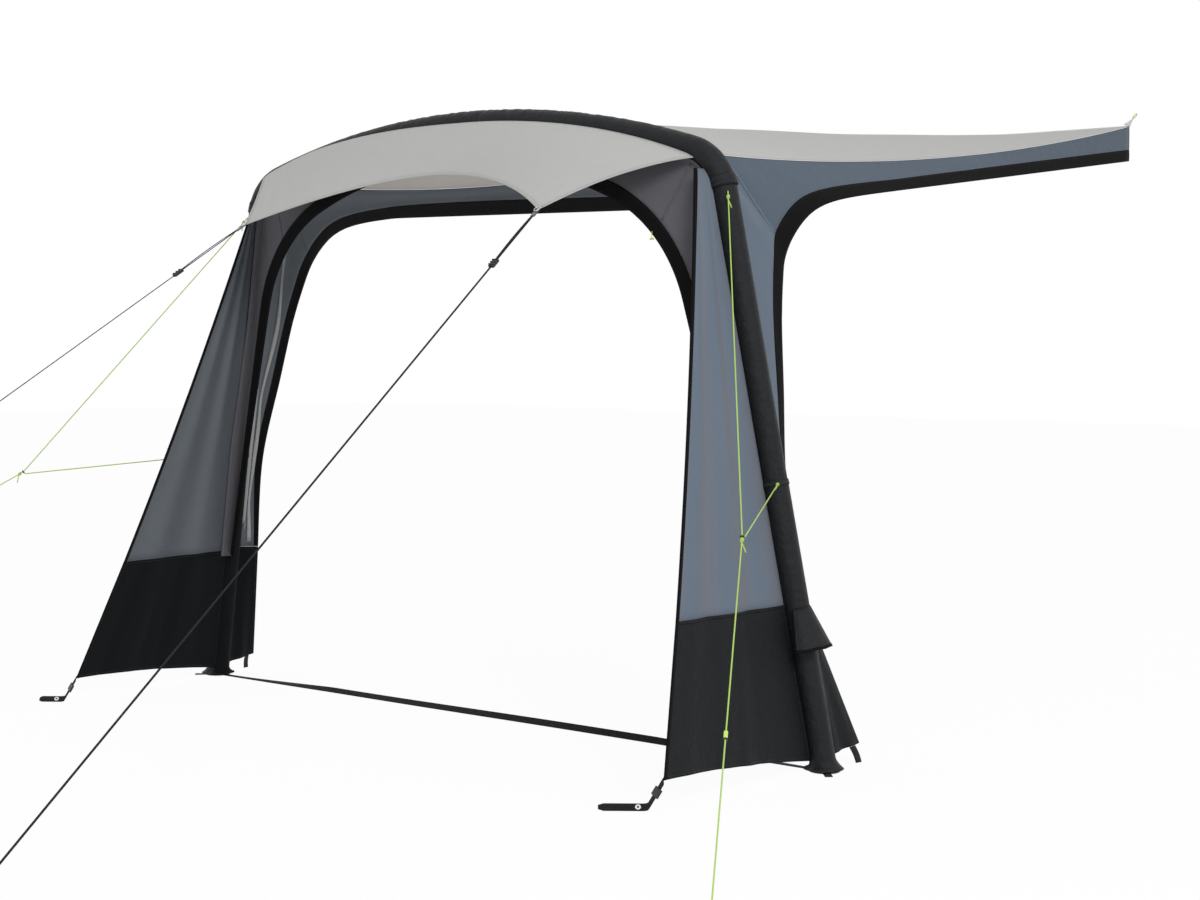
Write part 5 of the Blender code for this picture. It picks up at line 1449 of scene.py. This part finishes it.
def peg_strap_line(side):
    """The points down the middle of a peg strap, the direction across it and its height on the ground."""
    corner, outward = sided(WING_CORNER, side), PEG_STRAP_DIRECTIONS[side]
    across = outward.cross(UP).normalized() * cos(PEG_STRAP_TWIST) + UP * sin(PEG_STRAP_TWIST)
    ground = WEBBING_WIDTH / 2 * sin(PEG_STRAP_TWIST) + WEBBING
    landing = corner + outward * PEG_STRAP_DROP
    landing.z = ground + LANDING_RISE
    points = steps(corner + (landing - corner).normalized() * (CLOTH * 0.6 + CLEARANCE), landing, 8)
    lying = [(PEG_STRAP_DROP + distance, height) for distance, height in PEG_STRAP_BEND]
    lying += [(length, 0.0) for length in steps(lying[-1][0], PEG_STRAP_LENGTHS[side], 24)[1:]]
    points += [Vector((*(corner + outward * length).xy, ground + height)) for length, height in lying]
    return points, across, Vector((*(corner + outward * PEG_EYELET_DISTANCE).xy, ground))


for side in SIDES:
    points, across, eyelet = peg_strap_line(side)

    def peg_point(share, index):
        """The band, narrower at its last three points."""
        width = WEBBING_WIDTH * min(1.0, 0.55 + 0.15 * (len(points) - 1 - index))
        return points[index] + across * (width * share)

    facing, rims = PEG_STRAP_DIRECTIONS[side].cross(across).normalized(), []
    wheel, name = facing.to_track_quat("Z", "Y"), hand("eyelet_rim", side)
    spokes = [wheel @ Vector((cos(turn), sin(turn), 0.0)) * EYELET_RING for turn in steps(0, TURN, 28)[:-1]]
    for number, lift in enumerate((EYELET_STAND, -EYELET_STAND)):
        rim = [eyelet + facing * lift + spoke for spoke in spokes]
        rims.append(cord_curve(f"{name}_{number + 1}", rim, EYELET_WIRE, white_plastic, cyclic=True, resolution=2))
    rows, hangs_on = range(len(points)), [cloth_of("front_skirt", side)]
    web(hand("peg_strap", side), peg_point, -0.5, rows, "laid", hangs_on, pieces=rims)

# %% [markdown]
# A storm strap starts at the visor's corner: a metal ring through the cloth's tip, a clip, then doubled webbing down
# to a ladder adjuster, and one thin band from there to a peg loop on the ground. A guy line has a knot with a loose
# tail where it leaves the leg, a second knot at the ring, a third on the branch, and a loop at the ground. The runner
# is lime plastic with a black end. With every knot tied, each cord is declared with its real length and the pieces
# that are on it.

# %% Rig the straps and tie the guy lines
PEG_LOOP, PEG_LOOP_LIFT, KNOT_TURNS, KNOT_GAP = 0.020, 0.0006, 2.6, 0.014
HOOK_RADIUS, HOOK_LENGTH, HOOK_WIRE, HOOK_DROP, HOOK_STAND = 0.0085, 0.013, 0.0014, 0.004, 0.0052
RETURN_STAND, RETURN_BOW, STORM_LOOP_CORD = 0.0024, 0.0030, 0.0022
BUCKLE_BAR, BUCKLE_BAR_GAP, BUCKLE_BAR_STAND, BUCKLE_BAR_BEVEL = (0.0045, 0.0215, 0.0026), 0.013, 0.0064, 0.0007
KNOT_TAIL, TOP_KNOT_TAIL, TOP_KNOT_GAP = 0.026, 0.024, 0.026
RUNNER_SHARE, RUNNER_END, RUNNER_END_DROP, RUNNER_END_BEVEL = 0.50, (0.0055, 0.0108, 0.0083), 0.0150, 0.0012
ON_CORDS = {
    "guy_line_cord": ("guy_top_knot", "guy_ring_knot", "guy_ring", "guy_runner", "guy_runner_end", "guy_peg_loop"),
    "guy_branch_cord": ("guy_branch_knot",),
    "storm_strap_band": (
        "storm_hook", "storm_clip", "storm_strap_return", "storm_buckle", "storm_buckle_bars", "storm_peg_loop",
    ),
}


def peg_loop(name, end, direction, radius, finish):
    """A closed loop on the ground, where a peg would stand."""
    level = Vector((direction.x, direction.y, 0.0)).normalized()
    points = []
    for turn in steps(0, TURN, 28)[:-1]:
        long_way = (1 - cos(turn)) / 2 * PEG_LOOP * 1.7
        wide = sin(turn) * PEG_LOOP * 0.42 * (0.35 + 0.65 * sin(turn / 2))
        points.append(end + level * long_way + level.cross(UP) * wide + UP * (radius + PEG_LOOP_LIFT - end.z))
    cord_curve(name, points, radius, finish, cyclic=True)


def knot(name, centre, along, tail=KNOT_TAIL):
    """A small tied knot: turns of cord round the line, and a loose tail."""
    aside = UP.cross(along).normalized()
    over = along.cross(aside).normalized()
    points = []
    for share in steps(0, 1, 33):
        turn = share * KNOT_TURNS * TURN
        wide = GUY_RADIUS * (1.95 + 0.2 * sin(turn * 0.7))
        offset = along * (GUY_RADIUS * 5.0 * (share - 0.5)) + (aside * cos(turn) + over * sin(turn)) * wide
        points.append(centre + offset)
    last = points[-1]
    for share in steps(0, 1, 6)[1:]:
        points.append(last + (aside * 0.55 + along * 0.35 - UP * (0.55 + 0.4 * share)) * tail * share)
    cord_curve(name, points, GUY_RADIUS * 0.95, lime_braid, resolution=2)


def rig_storm_strap(side):
    corner, strap_top, strap_end = storm_route(side)
    down = (strap_end - strap_top).normalized()
    flat = down.cross(UP).normalized()
    facing = flat.cross(down).normalized()
    buckle_at, buckle = between(strap_top, strap_end, STORM_BUCKLE_SHARE), hand("storm_buckle", side)
    back = []
    for share in steps(0, 1, 14):
        stand = RETURN_STAND + RETURN_BOW * sin(pi * share)
        back.append(between(strap_top, buckle_at, share) + facing * stand)
    doubled = strap_band(hand("storm_strap_return", side), back, flat, None, narrow_webbing)
    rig.blend(doubled, "awning", buckle, start=tuple(strap_top), end=tuple(buckle_at))
    hook = []
    for turn in steps(0, TURN, 24)[:-1]:
        along_strap, wide = HOOK_DROP + HOOK_LENGTH * cos(turn), HOOK_RADIUS * sin(turn)
        hook.append(corner + down * along_strap + flat * wide + facing * HOOK_STAND)
    cord_curve(hand("storm_hook", side), hook, HOOK_WIRE, steel, cyclic=True)
    peg_loop(hand("storm_peg_loop", side), strap_end, down, STORM_LOOP_CORD, black_braid)
    offsets = (-BUCKLE_BAR_GAP, 0.0, BUCKLE_BAR_GAP)
    bars = [(buckle_at + down * offset + facing * BUCKLE_BAR_STAND, BUCKLE_BAR) for offset in offsets]
    gather(hand("storm_buckle_bars", side), bars, down, flat, black_plastic, buckle, BUCKLE_BAR_BEVEL)


def tie_guy_line(side):
    top, meet, end, branch_start, low = guy_route(side)
    down, upper, branch_way = ((b - a).normalized() for a, b in ((meet, end), (top, meet), (branch_start, low)))
    knot(hand("guy_top_knot", side), top + upper * TOP_KNOT_GAP, upper, TOP_KNOT_TAIL)
    knot(hand("guy_ring_knot", side), meet + down * KNOT_GAP, down)
    knot(hand("guy_branch_knot", side), low - branch_way * KNOT_GAP, branch_way)
    peg_loop(hand("guy_peg_loop", side), end, down, GUY_RADIUS, lime_braid)
    box, aside = [(between(meet, end, RUNNER_SHARE) + down * RUNNER_END_DROP, RUNNER_END)], down.cross(UP).normalized()
    gather(
        hand("guy_runner_end", side), box, down, aside, black_plastic, hand("guy_runner", side), RUNNER_END_BEVEL,
    )


for side in SIDES:
    rig_storm_strap(side)
    tie_guy_line(side)
pieces_by_name = {piece.name: piece for piece in bpy.context.scene.objects} | frame["nodes"]
for (name, side), (line, route, diameter) in lines.items():
    length = round(running(route)[-1], 3)
    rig.cord(
        line, exit=route[0], length=length, diameter=diameter, stiffness="limp", lay="taut",
        far_end="object" if name == "guy_branch_cord" else "knot", path=route,
        with_pieces=[pieces_by_name[hand(piece, side)] for piece in ON_CORDS[name]],
    )
    print(line.name, length, "m")

# %% [markdown]
# At each rear corner a white three-cornered tab stands beyond the roof, with a lime elastic loop at its tip. A white
# keder, a cloth tape round a rope, runs along the roof's rear edge and slides into the van's rail.

# %% Finish the rear corners
CORNER_TAB, CORNER_TAB_TIP = 0.070, Vector((0.022, -0.020, 0.026))
LOOP_RADIUS, LOOP_CORD, KEDER_RADIUS, KEDER_WALL = 0.013, 0.002, 0.0035, 0.0007
KEDER_INSET, KEDER_RIPPLE, KEDER_RIPPLE_LENGTH = 0.0004, 0.00012, 0.012


def keder_point(angle, across):
    centre = Vector((across, RAIL_DISTANCE + CLEARANCE + KEDER_RADIUS, RAIL_HEIGHT))
    radius = KEDER_RADIUS - KEDER_INSET + KEDER_RIPPLE * sin(across * TURN / KEDER_RIPPLE_LENGTH)
    return centre + (BACK * cos(angle) + UP * sin(angle)) * radius


rows = steps(-RAIL_HALF_LENGTH, RAIL_HALF_LENGTH, 220)
sew(
    "keder_bead", keder_point, steps(0, TURN, 14), rows, white_cloth, "stretched", ["roof_panel_cloth"],
    ending="_rope", thickness=KEDER_WALL, wrap=True,
)
corner = Vector((RAIL_HALF_LENGTH + CLEARANCE + CLOTH * 0.4, RAIL_DISTANCE, RAIL_HEIGHT))


def corner_tab_point(share, out):
    base = BACK * -CORNER_TAB * share
    return corner + between(base, CORNER_TAB_TIP + base * 0.2, out)


for side in SIDES:
    away = Vector((CORNER_TAB_TIP.x, 0.0, CORNER_TAB_TIP.z)).normalized()
    middle = corner + CORNER_TAB_TIP - BACK * CORNER_TAB * 0.1 + away * (LOOP_RADIUS + LOOP_CORD + CLEARANCE)
    points = []
    for turn in steps(0, TURN, 30)[:-1]:
        narrow = 0.72 + 0.28 * cos(turn)
        points.append(sided(middle + (away * cos(turn) + BACK * narrow * sin(turn)) * LOOP_RADIUS, side))
    loop = cord_curve(hand("corner_loop", side) + "_elastic", points, LOOP_CORD, lime_braid, cyclic=True)
    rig.replaces(loop, hand("corner_loop", side))
    sew(
        "corner_tab", corner_tab_point, steps(0, 1, 10), steps(0, 1, 6), white_cloth, "stretched",
        ["roof_panel_cloth"], side, pieces=[loop], hems="lrt",
    )

# %% [markdown]
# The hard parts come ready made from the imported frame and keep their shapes. Each only needs its finish.

# %% Finish the hard parts
NODE_FINISHES = {
    black_plastic: (
        "foot_pad", "peg_buckle", "storm_buckle", "guy_ring", "valve_body", "valve_plunger", "valve_cap",
    ),
    dark_metal: ("zip_slider", "storm_clip"),
    white_plastic: ("peg_eyelet",),
    lime_plastic: ("guy_runner",),
}
finished = 0
for node, obj in frame["nodes"].items():
    kind = node.removesuffix("_left").removesuffix("_right")
    for finish, kinds in NODE_FINISHES.items():
        if kind in kinds:
            finished += 1
            for slot in obj.material_slots:
                slot.material = finish
print("hard parts finished:", finished)

# %% [markdown]
# The studio is plain: a pale floor that fades to white for the camera and keeps a faint shadow, a white sky that
# lights the cloth evenly from all sides, and one broad soft lamp from the front right that shapes the folds.

# %% Set up the studio
FLOOR_SIZE, FLOOR_DROP, FLOOR_FADE = 60.0, 0.0005, 0.95
FLOOR_WHITE, SKY_WHITE, LAMP_WHITE = (0.86, 0.86, 0.855, 1.0), (0.97, 0.985, 1.0, 1.0), (1.0, 0.995, 0.98)
SKY_LIGHT, LAMP_POWER, LAMP_SIZE = 0.72, 420.0, 4.0
LAMP_PLACE, LAMP_AIM = Vector((7.5, -4.5, 6.5)), Vector((0.4, 0.2, 1.1))


def fade_to_white(finish, kind, share, end):
    """Rays that show the background see white: those straight to the camera, mirrored, or through glass."""
    camera, mirror, glass = (
        finish.node("ShaderNodeLightPath", output=f"Is {ray} Ray") for ray in ("Camera", "Glossy", "Transmission")
    )
    shown = camera.do("MAXIMUM", mirror).do("MAXIMUM", glass) * share
    lit = Term(finish, finish.shader.outputs[0])
    white = finish.node(kind, values={"Color": (1.0, 1.0, 1.0, 1.0), "Strength": 1.0})
    mixed = finish.node("ShaderNodeMixShader", values=dict(enumerate((shown, lit, white))))
    finish.feed(finish.tree.nodes[end].inputs["Surface"], mixed)


class Sky(Finish):
    """The world's own nodes."""

    def __init__(self, name, **constants):
        world = bpy.data.worlds.new(name)
        world.use_nodes = True
        bpy.context.scene.world = world
        self.material, self.tree = None, world.node_tree
        self.shader = self.tree.nodes["Background"]
        self.show(**constants)


mesh, made = bpy.data.meshes.new("floor"), bmesh.new()
bmesh.ops.create_grid(made, x_segments=1, y_segments=1, size=FLOOR_SIZE / 2)
made.to_mesh(mesh)
made.free()
floor, pale = add_object("floor", mesh), Finish("floor_white", Roughness=0.9, Base_Color=FLOOR_WHITE)
fade_to_white(pale, "ShaderNodeEmission", FLOOR_FADE, "Material Output")
mesh.materials.append(pale.material)
floor.location.z = -FLOOR_DROP
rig.stage(floor)
sky = Sky("studio_sky", Color=SKY_WHITE, Strength=SKY_LIGHT)
fade_to_white(sky, "ShaderNodeBackground", 1.0, "World Output")
light = bpy.data.lights.new("key", "AREA")
light.shape, light.size, light.energy, light.color = "DISK", LAMP_SIZE, LAMP_POWER, LAMP_WHITE
lamp = add_object("key", light)
lamp.location = LAMP_PLACE
lamp.rotation_euler = (LAMP_AIM - LAMP_PLACE).to_track_quat("-Z", "Y").to_euler()
bpy.context.scene.view_settings.view_transform = "Standard"

# %% Check and finish
visual_box = [list(corner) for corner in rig.bounds()]
with open("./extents.json", "w") as size_file:
    json.dump({"cad": CAD_BOX, "visual": visual_box}, size_file)
print("grew by (mm):", [[round(1000 * (b - a), 1) for a, b in zip(*pair)] for pair in zip(CAD_BOX, visual_box)])
